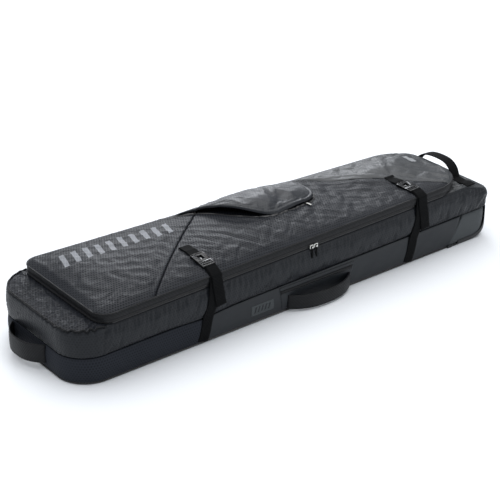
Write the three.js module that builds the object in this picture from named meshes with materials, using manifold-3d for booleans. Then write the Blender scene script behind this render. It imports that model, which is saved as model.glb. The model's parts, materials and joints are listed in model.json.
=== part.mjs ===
// Wheeled snowboard bag: a long tapered body with a padded base, two-part side walls, a deck at each
// end, and a domed lid that is hinged along the far side and closed by a two-way zip.
// Millimetres. +X runs from the foot end to the wheel end, -Y is the side with the haul handle, +Z up.
// The origin lies on the floor plane, in the middle of the base panel.
import * as THREE from 'three';
import { mergeVertices } from 'three/addons/utils/BufferGeometryUtils.js';
import Module from 'manifold-3d';

const wasm = await Module();
wasm.setup();

// ---------------------------------------------------------------- driving sizes
const gap = 0.3; // left between two pieces that touch
const bag = { length: 1680, footWidth: 460, wheelWidth: 320, footCorner: 100, wheelCorner: 45 };
const wall = 8; // padded wall, deck and lid thickness
const basePanel = { thick: 5 };
const stiffener = { thick: 3, inset: 10 };
const seam = { footHeight: 84, wheelHeight: 105 }; // the seam between lower and upper walls
const deck = { footEdge: 168, wheelEdge: 166, ledge: 12 }; // heights of the decks' outer edges
const lid = { footGap: 92, wheelGap: 118, footCorner: 50, wheelCorner: 130, opening: 8.6 };
const zipLine = { footHeight: 180, wheelHeight: 205, thick: 3, inset: 1 };
const band = { height: 24, thick: 6 };
const crown = { front: 58, rear: 36, edge: 34, skin: 6, rise: 190, easeFrom: -60, easeTo: 360 };
// where the lid's slanted seams meet its sides, from the lid's foot end (front) and wheel end (rear)
const diagonal = { frontNear: 188, frontFar: 673, rearNear: 67, rearFar: 460, gap: 0.6 };
const pocket = { left: -245, right: 236, near: -48, farInset: 26, bulge: 36, welt: 7, margin: 20 };
// the pocket's free edge: a long sweep in from the left end, a straight stretch, a short bend at the right
const pocketSweep = { reach: 265, startPull: 120, startDrop: 30, endPull: 135, endRise: 6 };
const pocketBend = {
  reach: 90, rise: 22, midPull: 45, midRise: 32, endPull: 22, endRise: 60, inset: 8, height: 110,
};
const pocketSlider = {
  length: 12, width: 10, height: 3, travel: 110, lift: 1.6, tab: 16, tabWidth: 8, tabThick: 1.6,
};
const strap = {
  width: 38, thick: 2.2, fromLidFoot: 405, fromLidWheel: 217, lean: 50, sewn: 7, lift: 2.4, bend: 3,
};
const buckle = { edgeDistance: 26, width: 47, socket: 40, frame: 26, thick: 10, play: 0.5 };
const buckleSlot = { edge: 4, width: 4, first: 5, second: 14, socketEdge: 2.5, socketWidth: 3 };
const buckleProng = { middle: 10, side: 5, fromEdge: 6, short: 10, middleThick: 4, sideThick: 4.4 };
const buckleShell = {
  side: 3.5, skin: 1.8, back: 8, mouth: 16, mouthLength: 12, window: 18, windowFrom: 7, windowTo: 27,
};
const upperStrap = { length: 58 };
const tail = { end: 118, shift: 5 };
const slider = { length: 15, height: 12, thick: 4, apart: 17, centre: 42, offFace: 0.4, pin: 1.6, pinCap: 1.2 };
const puller = { length: 38, width: 6, thick: 3, eye: 2.2 };
const sideHandle = { start: -62, end: 196, low: 8, high: 56, reach: 42, thick: 6 };
const footHandle = { start: -68, end: 118, low: 24, high: 84, reach: 44, thick: 6 };
const endHandle = { centre: 94, width: 38, thick: 4, near: -82, far: 108, rise: 52, stand: 6, rootShare: 0.55 };
const endTab = { nearLength: 78, farLength: 26, thick: 2, under: 8 };
const patch = { thick: 1, low: 6, high: 88, overhang: 22, slantTop: 10, slantBottom: 30 };
const tailPanel = { topFromEnd: 131, bottomFromEnd: 202 };
const guard = { start: 150, radius: 85, thick: 5, top: 100, lift: 2 };
const flange = { out: 3, depth: 13 };
const wheel = {
  radius: 38, width: 26, centreFromEnd: 46, sideInset: 40, hubRadius: 28, clearance: 5, chamfer: 2.5, tread: 4,
};
const axle = { radius: 4, headRadius: 7, head: 3 };
const bearing = { outer: 11, width: 20, play: 0.05 };
const cheek = 5;
const lug = { fromEnd: 197, length: 20, height: 10, rail: 4, lift: 0.2 };
const piping = { radius: 2.5, end: 110 };
const hingeDepth = 20;
const badge = { width: 92, height: 34, thick: 1.2, centreX: -162, centreZ: 46 };
const lidBadge = { width: 52, depth: 22, thick: 1, fromLidWheel: 70, y: 48 };

const xFoot = -bag.length / 2;
const xWheel = bag.length / 2;
const xLidFoot = xFoot + lid.footGap;
const xLidWheel = xWheel - lid.wheelGap;
const taper = Math.atan((bag.footWidth - bag.wheelWidth) / 2 / bag.length);
const wide = bag.footWidth; // larger than any half width: reaches past the bag on either side
const above = 500; // a height over the whole bag
const below = 10; // a depth under the floor

// ---------------------------------------------------------------- lines and heights
const mix = (a, b, t) => a + (b - a) * t;
const clamp01 = (t) => Math.min(1, Math.max(0, t));
const smooth = (t) => clamp01(t) ** 2 * (3 - 2 * clamp01(t));
const halfWidth = (x) => mix(bag.footWidth, bag.wheelWidth, (x - xFoot) / bag.length) / 2;
const seamZ = (x) => mix(seam.footHeight, seam.wheelHeight, (x - xFoot) / bag.length);
const zipSlope = (zipLine.wheelHeight - zipLine.footHeight) / (xLidWheel - xLidFoot);
const zipZ = (x) => zipLine.footHeight + zipSlope * (x - xLidFoot);
const rimZ = (x) => zipZ(x) - lid.opening / 2; // top of the base, which the lower zip half stands on

function deckZ(x) {
  if (x < xLidFoot) return mix(deck.footEdge, rimZ(xLidFoot), (x - xFoot) / lid.footGap);
  if (x > xLidWheel) return mix(rimZ(xLidWheel), deck.wheelEdge, (x - xLidWheel) / lid.wheelGap);
  return rimZ(x);
}

// height of the lid's outer skin over the zip line
function lidRise(x, y) {
  const middle = mix(crown.front, crown.rear, smooth((x - crown.easeFrom) / (crown.easeTo - crown.easeFrom)));
  const across = 1 - Math.min(1, Math.abs(y) / halfWidth(x)) ** 2.6;
  const fromEnd = Math.min(x - xLidFoot, xLidWheel - x) / crown.rise;
  const along = 1 - (1 - clamp01(fromEnd)) ** 2.4;
  return crown.edge + (middle - crown.edge) * across * along;
}

// ---------------------------------------------------------------- solids
function toSolid(geometry) {
  const plain = geometry.clone();
  plain.deleteAttribute('normal');
  plain.deleteAttribute('uv');
  const merged = mergeVertices(plain, 1e-4);
  return new wasm.Manifold(new wasm.Mesh({
    numProp: 3,
    vertProperties: new Float32Array(merged.attributes.position.array),
    triVerts: new Uint32Array(merged.index.array),
  }));
}

function toGeometry(solid) {
  const mesh = solid.getMesh();
  const geometry = new THREE.BufferGeometry();
  geometry.setAttribute('position', new THREE.BufferAttribute(mesh.vertProperties, 3));
  geometry.setIndex(new THREE.BufferAttribute(mesh.triVerts, 1));
  return geometry;
}

const shapeOf = (points) => new THREE.Shape(points.map(([x, y]) => new THREE.Vector2(x, y)));
const extrude = (shape, depth) => new THREE.ExtrudeGeometry(shape, { depth, bevelEnabled: false, steps: 1 });

// a plan outline extruded upwards
const prismZ = (points, z0, z1) => toSolid(extrude(shapeOf(points), z1 - z0).translate(0, 0, z0));

// a side view (x, z) extruded across the bag
function prismY(points, y0, y1) {
  const turn = new THREE.Matrix4().makeBasis(
    new THREE.Vector3(1, 0, 0), new THREE.Vector3(0, 0, 1), new THREE.Vector3(0, -1, 0));
  return toSolid(extrude(shapeOf(points), y1 - y0).applyMatrix4(turn).translate(0, y1, 0));
}

// a cross section (y, z) extruded along the bag
function prismX(points, x0, x1) {
  const turn = new THREE.Matrix4().makeBasis(
    new THREE.Vector3(0, 1, 0), new THREE.Vector3(0, 0, 1), new THREE.Vector3(1, 0, 0));
  return toSolid(extrude(shapeOf(points), x1 - x0).applyMatrix4(turn).translate(x0, 0, 0));
}

const boxSolid = (x0, x1, y0, y1, z0, z1) => toSolid(
  new THREE.BoxGeometry(x1 - x0, y1 - y0, z1 - z0).translate((x0 + x1) / 2, (y0 + y1) / 2, (z0 + z1) / 2));

// a round bar across the bag
const barY = (radius, x, z, y0, y1, sides = 32) => toSolid(
  new THREE.CylinderGeometry(radius, radius, y1 - y0, sides).translate(x, (y0 + y1) / 2, z));

// a block whose top and bottom follow two height functions of x and y
function heightSolid(x0, x1, nx, ny, low, high) {
  const geometry = new THREE.BoxGeometry(1, 1, 1, nx, ny, 1);
  const position = geometry.attributes.position;
  for (let i = 0; i < position.count; i += 1) {
    const x = mix(x0, x1, position.getX(i) + 0.5);
    const y = position.getY(i) * 2 * (halfWidth(x) + wall);
    position.setXYZ(i, x, y, position.getZ(i) > 0 ? high(x, y) : low(x, y));
  }
  return toSolid(geometry);
}

const slab = (low, high) => heightSolid(xFoot - wall, xWheel + wall, 1, 1, low, high);

function arc(cx, cy, r, from, to, steps) {
  const points = [];
  for (let i = 0; i <= steps; i += 1) {
    const a = mix(from, to, i / steps);
    points.push([cx + r * Math.cos(a), cy + r * Math.sin(a)]);
  }
  return points;
}

// the tapered plan outline between two ends, with round corners, pulled in by inset
function outline(x0, x1, r0, r1, inset) {
  const line = (x, pull) => halfWidth(x) - pull / Math.cos(taper);
  const a = x0 + r0;
  const b = x1 - r1;
  const ya = line(a, r0);
  const yb = line(b, r1);
  const quarter = Math.PI / 2;
  return [
    ...arc(a, -ya, r0 - inset, Math.PI, Math.PI + quarter + taper, 8),
    ...arc(b, -yb, r1 - inset, -quarter + taper, 0, 8),
    ...arc(b, yb, r1 - inset, 0, quarter - taper, 8),
    ...arc(a, ya, r0 - inset, quarter - taper, Math.PI, 8),
  ];
}

const bagOutline = (inset) => outline(xFoot, xWheel, bag.footCorner, bag.wheelCorner, inset);
const lidOutline = (inset) => outline(xLidFoot, xLidWheel, lid.footCorner, lid.wheelCorner, inset);
const ring = (line, inset, thick, z0, z1) => prismZ(line(inset), z0, z1)
  .subtract(prismZ(line(inset + thick), z0 - 1, z1 + 1));

// a ribbon that follows a path of (y, z) points on its inner face, centred on x
function ribbon(path, thick, width, x) {
  const outer = path.map(([y, z], i) => {
    const [y0, z0] = path[Math.max(0, i - 1)];
    const [y1, z1] = path[Math.min(path.length - 1, i + 1)];
    const length = Math.hypot(y1 - y0, z1 - z0);
    return [y - (z1 - z0) / length * thick, z + (y1 - y0) / length * thick];
  });
  return prismX([...path, ...outer.reverse()], x - width / 2, x + width / 2);
}

// ---------------------------------------------------------------- materials and the scene
const finishes = {
  ripstop: { color: 0x3a3c42, roughness: 0.75, metalness: 0 },
  tarpaulin: { color: 0x2c3034, roughness: 0.5, metalness: 0 },
  rubberised: { color: 0x4b4f50, roughness: 0.6, metalness: 0 },
  webbing: { color: 0x1b1c1e, roughness: 0.85, metalness: 0 },
  board: { color: 0x202224, roughness: 0.6, metalness: 0 },
  zip: { color: 0x17181a, roughness: 0.6, metalness: 0 },
  moulding: { color: 0x26282a, roughness: 0.5, metalness: 0 },
  buckle: { color: 0x141516, roughness: 0.25, metalness: 0 },
  nickel: { color: 0xc9c9c6, roughness: 0.25, metalness: 1 },
  steel: { color: 0x9a9c9e, roughness: 0.35, metalness: 1 },
  tyre: { color: 0x1d1d1e, roughness: 0.9, metalness: 0 },
  print: { color: 0xa6a9ac, roughness: 0.7, metalness: 0 },
};
const materials = Object.fromEntries(
  Object.entries(finishes).map(([name, look]) => [name, new THREE.MeshStandardMaterial({ name, ...look })]));

const model = new THREE.Group();
// the near side's own frame: x along the side, -y outwards, z up
const nearSide = new THREE.Group();
nearSide.position.set(0, -halfWidth(0), 0);
nearSide.rotation.z = taper;
model.add(nearSide);

function addPart(name, finish, solid, parent = model) {
  const mesh = new THREE.Mesh(toGeometry(solid), materials[finish]);
  mesh.name = name;
  parent.add(mesh);
  return mesh;
}

// a point of the near side's frame, in the bag's frame
const fromNearSide = (x, y) => [
  x * Math.cos(taper) - y * Math.sin(taper),
  -halfWidth(0) + x * Math.sin(taper) + y * Math.cos(taper),
];

// ---------------------------------------------------------------- tail guard and wheels: profiles
const guardX = xWheel - guard.start;
const guardCentre = [xWheel - guard.radius, guard.radius + guard.lift];

// side view of the space inside the guard's outer face, pulled in by inset
const insideGuard = (inset) => [
  [xFoot - wall, -below],
  [guardX, -below],
  [guardX, guard.lift + inset],
  ...arc(guardCentre[0], guardCentre[1], guard.radius - inset, -Math.PI / 2, 0, 10),
  [xWheel - inset, guard.top],
  [xWheel + wall * 2, guard.top],
  [xWheel + wall * 2, above],
  [xFoot - wall, above],
];
const keepInsideGuard = prismY(insideGuard(guard.thick + gap), -wide, wide);

// ---------------------------------------------------------------- base panel and stiffener
addPart('base_panel', 'tarpaulin', prismZ(bagOutline(0), 0, basePanel.thick)
  .intersect(boxSolid(xFoot - 1, guardX - gap, -wide, wide, -below, above)));

const stiffenerZ = basePanel.thick + gap;
addPart('base_stiffener', 'board', prismZ(bagOutline(stiffener.inset), stiffenerZ, stiffenerZ + stiffener.thick)
  .intersect(boxSolid(xFoot, guardX - gap, -wide, wide, -below, above)));

// ---------------------------------------------------------------- walls
const xNearStart = xFoot + bag.footCorner; // where the straight sides begin and end
const xNearEnd = xWheel - bag.wheelCorner;
const wallRing = ring(bagOutline, 0, wall, 0, above);
const deckUnder = (x) => deckZ(x) - wall - gap;
const lowerBand = slab(() => basePanel.thick + gap, (x) => seamZ(x) - gap / 2);
const upperBand = slab((x) => seamZ(x) + gap / 2, () => above);
const xFootDeck = xLidFoot + lid.footCorner;
const xWheelDeck = xLidWheel - lid.wheelCorner;
const belowRim = slab(() => -below, rimZ)
  .intersect(boxSolid(xFootDeck, xWheelDeck, -wide, wide, -below, above));
const belowFootDeck = heightSolid(xFoot - wall, xFootDeck, 1, 1, () => -below, deckUnder)
  .add(heightSolid(xFoot - wall, xLidFoot, 1, 1, () => -below, deckUnder));
const belowWheelDeck = heightSolid(xWheelDeck, xWheel + wall, 1, 1, () => -below, deckUnder);
const belowDecks = belowRim.add(belowFootDeck).add(belowWheelDeck);
const lowerRing = wallRing.intersect(lowerBand).intersect(keepInsideGuard);
const upperRing = wallRing.intersect(upperBand).intersect(belowDecks);

const nearHalf = (x0, x1) => boxSolid(x0 + gap / 2, x1 - gap / 2, -wide, 0, -below, above);
const farHalf = (x0, x1) => boxSolid(x0 + gap / 2, x1 - gap / 2, 0, wide, -below, above);
const across = (x0, x1) => boxSolid(x0 + gap / 2, x1 - gap / 2, -wide, wide, -below, above);

// the slanted seam where the rubberised tail panels begin
const tailPanelSide = (side) => prismY([
  [xWheel - tailPanel.bottomFromEnd + side, -below],
  [xWheel - tailPanel.topFromEnd + side, seam.wheelHeight],
  [xWheel - tailPanel.topFromEnd + side, above],
  [side > 0 ? xNearEnd - gap / 2 : xNearStart + gap / 2, above],
  [side > 0 ? xNearEnd - gap / 2 : xNearStart + gap / 2, -below],
], -wide, wide);

for (const [side, half] of [['near', nearHalf], ['far', farHalf]]) {
  const lower = lowerRing.intersect(half(xNearStart, xNearEnd));
  addPart(`${side}_lower_wall`, 'tarpaulin', lower.intersect(tailPanelSide(-gap / 2)));
  addPart(`${side}_tail_panel`, 'rubberised', lower.intersect(tailPanelSide(gap / 2)));
  addPart(`${side}_upper_wall`, 'ripstop', upperRing.intersect(half(xNearStart, xNearEnd)));
}
addPart('foot_lower_wall', 'ripstop', lowerRing.intersect(across(xFoot - wall, xNearStart)));
addPart('foot_upper_wall', 'ripstop', upperRing.intersect(across(xFoot - wall, xNearStart)));

const wheelX = xWheel - wheel.centreFromEnd;
const wheelZ = wheel.radius;
const wheelY = halfWidth(wheelX) - wheel.sideInset;
const wellRadius = wheel.radius + wheel.clearance;
const wellHalf = wheel.width / 2 + wheel.clearance;
const wheelSides = { near: -wheelY, far: wheelY };
// a bar round a wheel's axis line, to each side of the wheel's middle plane
const wheelBar = (side, radius, half, sides = 40) => barY(
  radius, wheelX, wheelZ, wheelSides[side] - half, wheelSides[side] + half, sides);
const housingShape = (side, extra) => wheelBar(side, wellRadius + cheek + extra, wellHalf + cheek + extra);
const pinHalf = wellHalf + cheek + gap; // from the wheel's middle plane to under the axle's heads
const housingRoom = (side) => housingShape(side, gap)
  .add(wheelBar(side, axle.headRadius + gap, pinHalf + axle.head + gap));

// behind the guard the end wall stands inside it and leaves room for the wheel housings
const guardedWall = ring(bagOutline, guard.thick + gap, wall, 0, above).intersect(lowerBand)
  .intersect(keepInsideGuard).intersect(across(xNearEnd, xWheel + wall))
  .subtract(housingRoom('near')).subtract(housingRoom('far'));
addPart('wheel_end_lower_wall', 'rubberised', guardedWall);
addPart('wheel_end_upper_wall', 'ripstop', upperRing.intersect(across(xNearEnd, xWheel + wall)));

// ---------------------------------------------------------------- decks
const deckHole = prismZ(lidOutline(deck.ledge), 0, above);
const deckLayer = (x0, x1) => heightSolid(x0, x1, 1, 1, (x) => deckZ(x) - wall, deckZ);
const deckBody = (pieces) => pieces.reduce((a, b) => a.add(b)).intersect(prismZ(bagOutline(0), 0, above))
  .subtract(deckHole);
addPart('foot_deck', 'ripstop', deckBody([
  deckLayer(xFoot - wall, xLidFoot), deckLayer(xLidFoot, xFootDeck - gap)]));
addPart('wheel_deck', 'ripstop', deckBody([
  deckLayer(xWheelDeck + gap, xLidWheel), deckLayer(xLidWheel, xWheel + wall)]));

// ---------------------------------------------------------------- piping round the foot deck
const pipingLine = bagOutline(piping.radius).filter(([x]) => x < xFoot + bag.footCorner + 1);
const pipingHeight = (x) => deckZ(x) + gap * 2 + piping.radius;
const pipingEnd = (sign) => {
  const x = xFoot + piping.end;
  return [x, sign * (halfWidth(x) - piping.radius)];
};
const farArc = pipingLine.filter(([, y]) => y > 0);
const nearArc = pipingLine.filter(([, y]) => y < 0);
const pipingPath = new THREE.CatmullRomCurve3(
  [pipingEnd(1), ...farArc, ...nearArc, pipingEnd(-1)]
    .map(([x, y]) => new THREE.Vector3(x, y, pipingHeight(x))),
  false, 'centripetal');
const pipingSection = shapeOf(arc(0, 0, piping.radius, 0, Math.PI * 1.75, 7));
addPart('foot_piping', 'webbing', toSolid(new THREE.ExtrudeGeometry(
  pipingSection, { steps: 48, bevelEnabled: false, extrudePath: pipingPath })));

// ---------------------------------------------------------------- zip round three sides, hinge on the fourth
const hingeStart = xLidFoot + lid.footCorner;
const hingeEnd = xLidWheel - lid.wheelCorner;
const hingeRegion = (pull) => prismZ([
  [hingeStart + pull, halfWidth(hingeStart) - hingeDepth],
  [hingeEnd - pull, halfWidth(hingeEnd) - hingeDepth],
  [hingeEnd - pull, wide],
  [hingeStart + pull, wide],
], -below, above);
const closure = ring(lidOutline, zipLine.inset, zipLine.thick, 0, above);
const lowerHalf = closure.intersect(slab((x) => rimZ(x) + gap, (x) => zipZ(x) - gap / 2));
const upperHalf = closure.intersect(slab((x) => zipZ(x) + gap / 2, (x) => zipZ(x) + lid.opening / 2 - gap));
addPart('zip_lower_half', 'zip', lowerHalf.subtract(hingeRegion(0)));
addPart('zip_upper_half', 'zip', upperHalf.subtract(hingeRegion(0)));
addPart('hinge_fabric_lower', 'ripstop', lowerHalf.intersect(hingeRegion(gap)));
addPart('hinge_fabric_upper', 'ripstop', upperHalf.intersect(hingeRegion(gap)));

// ---------------------------------------------------------------- lid
const bandLow = (x) => zipZ(x) + lid.opening / 2;
const bandHigh = (x) => bandLow(x) + band.height;
addPart('lid_band', 'webbing', ring(lidOutline, 0, band.thick, 0, above).intersect(slab(bandLow, bandHigh)));

const lidTop = (x, y) => zipZ(x) + lidRise(x, y);
const lidBlock = (low, high) => heightSolid(xLidFoot - 1, xLidWheel + 1, 30, 10, low, high);
const lidShell = lidBlock((x) => bandHigh(x) + gap, lidTop)
  .intersect(prismZ(lidOutline(0), 0, above))
  .subtract(lidBlock(() => -below, (x, y) => lidTop(x, y) - crown.skin));

// plan region between two slanted seams, each given by where it meets the near and far sides
function seamX([nearX, farX], y) {
  return mix(nearX, farX, (y + halfWidth(nearX)) / (halfWidth(nearX) + halfWidth(farX)));
}
const betweenSeams = (left, right) => prismZ([
  [seamX(left, -wide) + diagonal.gap / 2, -wide],
  [seamX(right, -wide) - diagonal.gap / 2, -wide],
  [seamX(right, wide) - diagonal.gap / 2, wide],
  [seamX(left, wide) + diagonal.gap / 2, wide],
], -below, above);
const frontSeam = [xLidFoot + diagonal.frontNear, xLidFoot + diagonal.frontFar];
const rearSeam = [xLidWheel - diagonal.rearNear, xLidWheel - diagonal.rearFar];
const far = 4 * bag.length;
addPart('lid_front_panel', 'ripstop', lidShell.intersect(betweenSeams([-far, -far], frontSeam)));
addPart('lid_rear_panel', 'ripstop', lidShell.intersect(betweenSeams(rearSeam, [far, far])));
const shifted = (line, dx) => line.map((x) => x + dx);
const centreRegion = lidShell
  .subtract(betweenSeams([-far, -far], shifted(frontSeam, diagonal.gap * 2)))
  .subtract(betweenSeams(shifted(rearSeam, -diagonal.gap * 2), [far, far]));
addPart('lid_centre_panel', 'ripstop', centreRegion);

// ---------------------------------------------------------------- raised pocket on the lid
const pocketFar = halfWidth(0) - pocket.farInset;
// the pocket's free edge, from the far side at its left, round the near side, to the far side at its right
function pocketEdge() {
  const { left, right, near } = pocket;
  const sweep = pocketSweep;
  const bend = pocketBend;
  const shape = new THREE.Shape();
  shape.moveTo(left, pocketFar);
  shape.bezierCurveTo(left + sweep.startPull, pocketFar - sweep.startDrop,
    left + sweep.reach - sweep.endPull, near + sweep.endRise, left + sweep.reach, near);
  shape.lineTo(right - bend.reach, near + bend.rise);
  shape.bezierCurveTo(right - bend.midPull, near + bend.midRise,
    right - bend.endPull, near + bend.endRise, right - bend.inset, near + bend.height);
  shape.lineTo(right, pocketFar);
  return shape.getPoints(8);
}
// the pocket's outline with its free edge moved outwards by grow; the far edge stays
function pocketOutline(grow) {
  const edge = pocketEdge();
  const moved = edge.map((p, i) => {
    const along = edge[Math.min(edge.length - 1, i + 1)].clone().sub(edge[Math.max(0, i - 1)]).normalize();
    return [p.x + along.y * grow, p.y - along.x * grow];
  });
  return [...moved, [pocket.right + grow, pocketFar + wall], [pocket.left - grow, pocketFar + wall]];
}
function pocketTop(x, y) {
  const u = (2 * x - pocket.left - pocket.right) / (pocket.right - pocket.left);
  const v = (2 * y - pocket.near - pocketFar) / (pocketFar - pocket.near);
  const dome = Math.max(0, 1 - Math.abs(u) ** 2.4) * Math.max(0, 1 - Math.abs(v) ** 2.4);
  return lidTop(x, y) + gap + pocket.welt + (pocket.bulge - pocket.welt) * dome;
}
const pocketBlock = (low, high) => heightSolid(
  pocket.left - pocket.margin, pocket.right + pocket.margin, 14, 10, low, high);
const overLid = (x, y) => lidTop(x, y) + gap * 3;
const pastPocket = boxSolid(-far, far, pocketFar, wide, -below, above);
addPart('lid_pocket', 'ripstop', pocketBlock(overLid, pocketTop)
  .intersect(prismZ(pocketOutline(-gap), 0, above)).subtract(pastPocket));
addPart('pocket_zip', 'zip', pocketBlock(overLid, (x, y) => overLid(x, y) + pocket.welt / 2)
  .intersect(prismZ(pocketOutline(pocket.welt), 0, above))
  .subtract(prismZ(pocketOutline(0), -below, above))
  .subtract(pastPocket));

// the pocket's slider runs along the straight stretch of the zip
const stretch = {
  from: [pocket.left + pocketSweep.reach, pocket.near],
  to: [pocket.right - pocketBend.reach, pocket.near + pocketBend.rise],
};
const stretchAngle = Math.atan2(stretch.to[1] - stretch.from[1], stretch.to[0] - stretch.from[0]);
const zipMiddle = (along) => [
  stretch.to[0] - along * Math.cos(stretchAngle) + (pocket.welt / 2) * Math.sin(stretchAngle),
  stretch.to[1] - along * Math.sin(stretchAngle) - (pocket.welt / 2) * Math.cos(stretchAngle),
];
const zipTop = (along) => overLid(...zipMiddle(along)) + pocket.welt / 2;
const zipSlopeDown = (zipTop(0) - zipTop(pocketSlider.travel)) / pocketSlider.travel;
let sliderLift = 0;
for (let s = -10; s <= pocketSlider.travel + 10; s += 10) {
  sliderLift = Math.max(sliderLift, zipTop(s) - zipTop(0) + zipSlopeDown * s);
}
const sliderFrame = new THREE.Group();
const [sliderAtX, sliderAtY] = zipMiddle(0);
sliderFrame.position.set(sliderAtX, sliderAtY, zipTop(0) + sliderLift + pocketSlider.lift);
sliderFrame.rotation.set(0, -Math.atan(zipSlopeDown), stretchAngle, 'ZYX');
model.add(sliderFrame);
addPart('pocket_slider', 'nickel', boxSolid(-pocketSlider.length / 2, pocketSlider.length / 2,
  -pocketSlider.width / 2, pocketSlider.width / 2 - 2, 0, pocketSlider.height)
  .add(boxSolid(-pocketSlider.tabWidth / 2, pocketSlider.tabWidth / 2,
    -pocketSlider.width / 2 - pocketSlider.tab, -2, 1, 1 + pocketSlider.tabThick)), sliderFrame);

// ---------------------------------------------------------------- badges
const badgePlate = boxSolid(badge.centreX - badge.width / 2, badge.centreX + badge.width / 2,
  -gap - badge.thick, -gap, badge.centreZ - badge.height / 2, badge.centreZ + badge.height / 2);
addPart('side_badge', 'tarpaulin', badgePlate, nearSide);
const lidBadgeTop = (x, y) => overLid(x, y) + lidBadge.thick;
const lidBadgeX = xLidWheel - lidBadge.fromLidWheel;
const lidBadgeRegion = boxSolid(lidBadgeX - lidBadge.depth / 2, lidBadgeX + lidBadge.depth / 2,
  lidBadge.y - lidBadge.width / 2, lidBadge.y + lidBadge.width / 2, 0, above);
addPart('lid_badge', 'print', heightSolid(lidBadgeX - lidBadge.width, lidBadgeX + lidBadge.width, 4, 8,
  overLid, lidBadgeTop).intersect(lidBadgeRegion));

// ---------------------------------------------------------------- compression straps
// across a strap's width about x: how high the lid's skin lies at y inside the side's face
const skinAt = (x, y) => Math.max(...[-0.5, 0, 0.5].map((share) => {
  const [gx, gy] = fromNearSide(x + share * buckle.width, y);
  return lidTop(gx, gy);
}));
const strapLines = {
  left: xLidFoot + strap.fromLidFoot,
  right: xLidWheel - strap.fromLidWheel,
};
// path up the outside of the wall, over the lid's edge and onto the lid, lifted off the skin by lift
function overEdge(x, lift, zLow, yEnd) {
  const { bend } = strap;
  const step = 7;
  const points = [[-lift, zLow], ...arc(bend, skinAt(x, bend) - bend, bend + lift, Math.PI, Math.PI / 2, 4)];
  for (let y = bend + step; y < yEnd - 1; y += step) points.push([y, skinAt(x, y) + lift]);
  points.push([yEnd, skinAt(x, yEnd) + lift]);
  return points;
}
// the strap leans: its sewn end lies nearer the foot end than the part on the lid
function leaning(solid, x) {
  const geometry = toGeometry(solid);
  const position = geometry.attributes.position;
  const top = zipZ(x) + lid.opening / 2;
  for (let i = 0; i < position.count; i += 1) {
    const share = Math.max(0, 1 - position.getZ(i) / top);
    position.setX(i, position.getX(i) - strap.lean * share);
  }
  return toSolid(geometry);
}
const buckleLength = buckle.frame + buckle.play + buckle.socket;

// the buckle's own frame: x across, y up the strap from the frame's lower end, z off the lid
function buckleFrame(x) {
  const y0 = buckle.edgeDistance;
  const y1 = y0 + buckleLength;
  const z0 = skinAt(x, y0);
  const slope = (skinAt(x, y1) - z0) / (y1 - y0);
  let lift = 0;
  for (let y = y0; y <= y1; y += 4) lift = Math.max(lift, skinAt(x, y) - z0 - slope * (y - y0));
  const frame = new THREE.Group();
  frame.position.set(x, y0, z0 + lift + gap * 3);
  frame.rotation.x = Math.atan(slope);
  return frame;
}

function plugSolid() {
  const half = buckle.width / 2;
  const mid = buckle.thick / 2;
  const slot = (y) => boxSolid(-half + buckleSlot.edge, half - buckleSlot.edge, y, y + buckleSlot.width,
    -1, buckle.thick + 1);
  const reach = buckle.frame + buckle.socket - buckleProng.short;
  const prong = (x0, x1, thick) => boxSolid(x0, x1, buckle.frame - 1, reach, mid - thick / 2, mid + thick / 2);
  const { fromEdge, side, middle, middleThick, sideThick } = buckleProng;
  return boxSolid(-half, half, 0, buckle.frame, buckle.play, buckle.thick - buckle.play)
    .subtract(slot(buckleSlot.first))
    .subtract(slot(buckleSlot.second))
    .add(prong(-middle / 2, middle / 2, middleThick))
    .add(prong(-half + fromEdge, -half + fromEdge + side, sideThick))
    .add(prong(half - fromEdge - side, half - fromEdge, sideThick));
}
function socketSolid() {
  const half = buckle.width / 2;
  const y0 = buckle.frame + buckle.play;
  const y1 = y0 + buckle.socket;
  const { side, skin, back, mouth, mouthLength, window, windowFrom, windowTo } = buckleShell;
  const slotEnd = y1 - buckleSlot.socketEdge;
  const middle = buckle.thick / 2;
  const inside = buckle.thick - skin;
  return boxSolid(-half, half, y0, y1, 0, buckle.thick)
    .subtract(boxSolid(-half + side, half - side, y0 - 1, y1 - back, skin, inside))
    .subtract(boxSolid(-half - 1, half + 1, y0 + mouth, y0 + mouth + mouthLength, skin, inside))
    .subtract(boxSolid(-window / 2, window / 2, y0 + windowFrom, y0 + windowTo, middle, buckle.thick + 1))
    .subtract(boxSolid(-half + side, half - side, slotEnd - buckleSlot.socketWidth, slotEnd,
      -1, buckle.thick + 1));
}

for (const [side, x] of Object.entries(strapLines)) {
  const start = buckle.edgeDistance - strap.thick; // where the ribbons end, short of the buckle
  const lower = ribbon(overEdge(x, strap.lift, strap.sewn, start), strap.thick, strap.width, x);
  addPart(`${side}_lower_strap`, 'webbing', leaning(lower, x), nearSide);
  const tailLift = strap.lift + strap.thick + gap * 2;
  const tailX = x + tail.shift;
  const loose = ribbon(overEdge(tailX, tailLift, tail.end, start), strap.thick, strap.width, tailX);
  addPart(`${side}_strap_tail`, 'webbing', leaning(loose, x), nearSide);

  const frame = buckleFrame(x);
  nearSide.add(frame);
  addPart(`${side}_buckle_plug`, 'buckle', plugSolid(), frame);
  addPart(`${side}_buckle_socket`, 'buckle', socketSolid(), frame);

  const yUp = buckle.edgeDistance + buckleLength + 1;
  const path = [0, 1, 2, 3, 4, 5, 6].map((i) => {
    const y = yUp + upperStrap.length * i / 6;
    return [y, skinAt(x, y) + strap.lift + 1];
  });
  addPart(`${side}_upper_strap`, 'webbing', ribbon(path, strap.thick, strap.width, x), nearSide);
}

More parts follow.
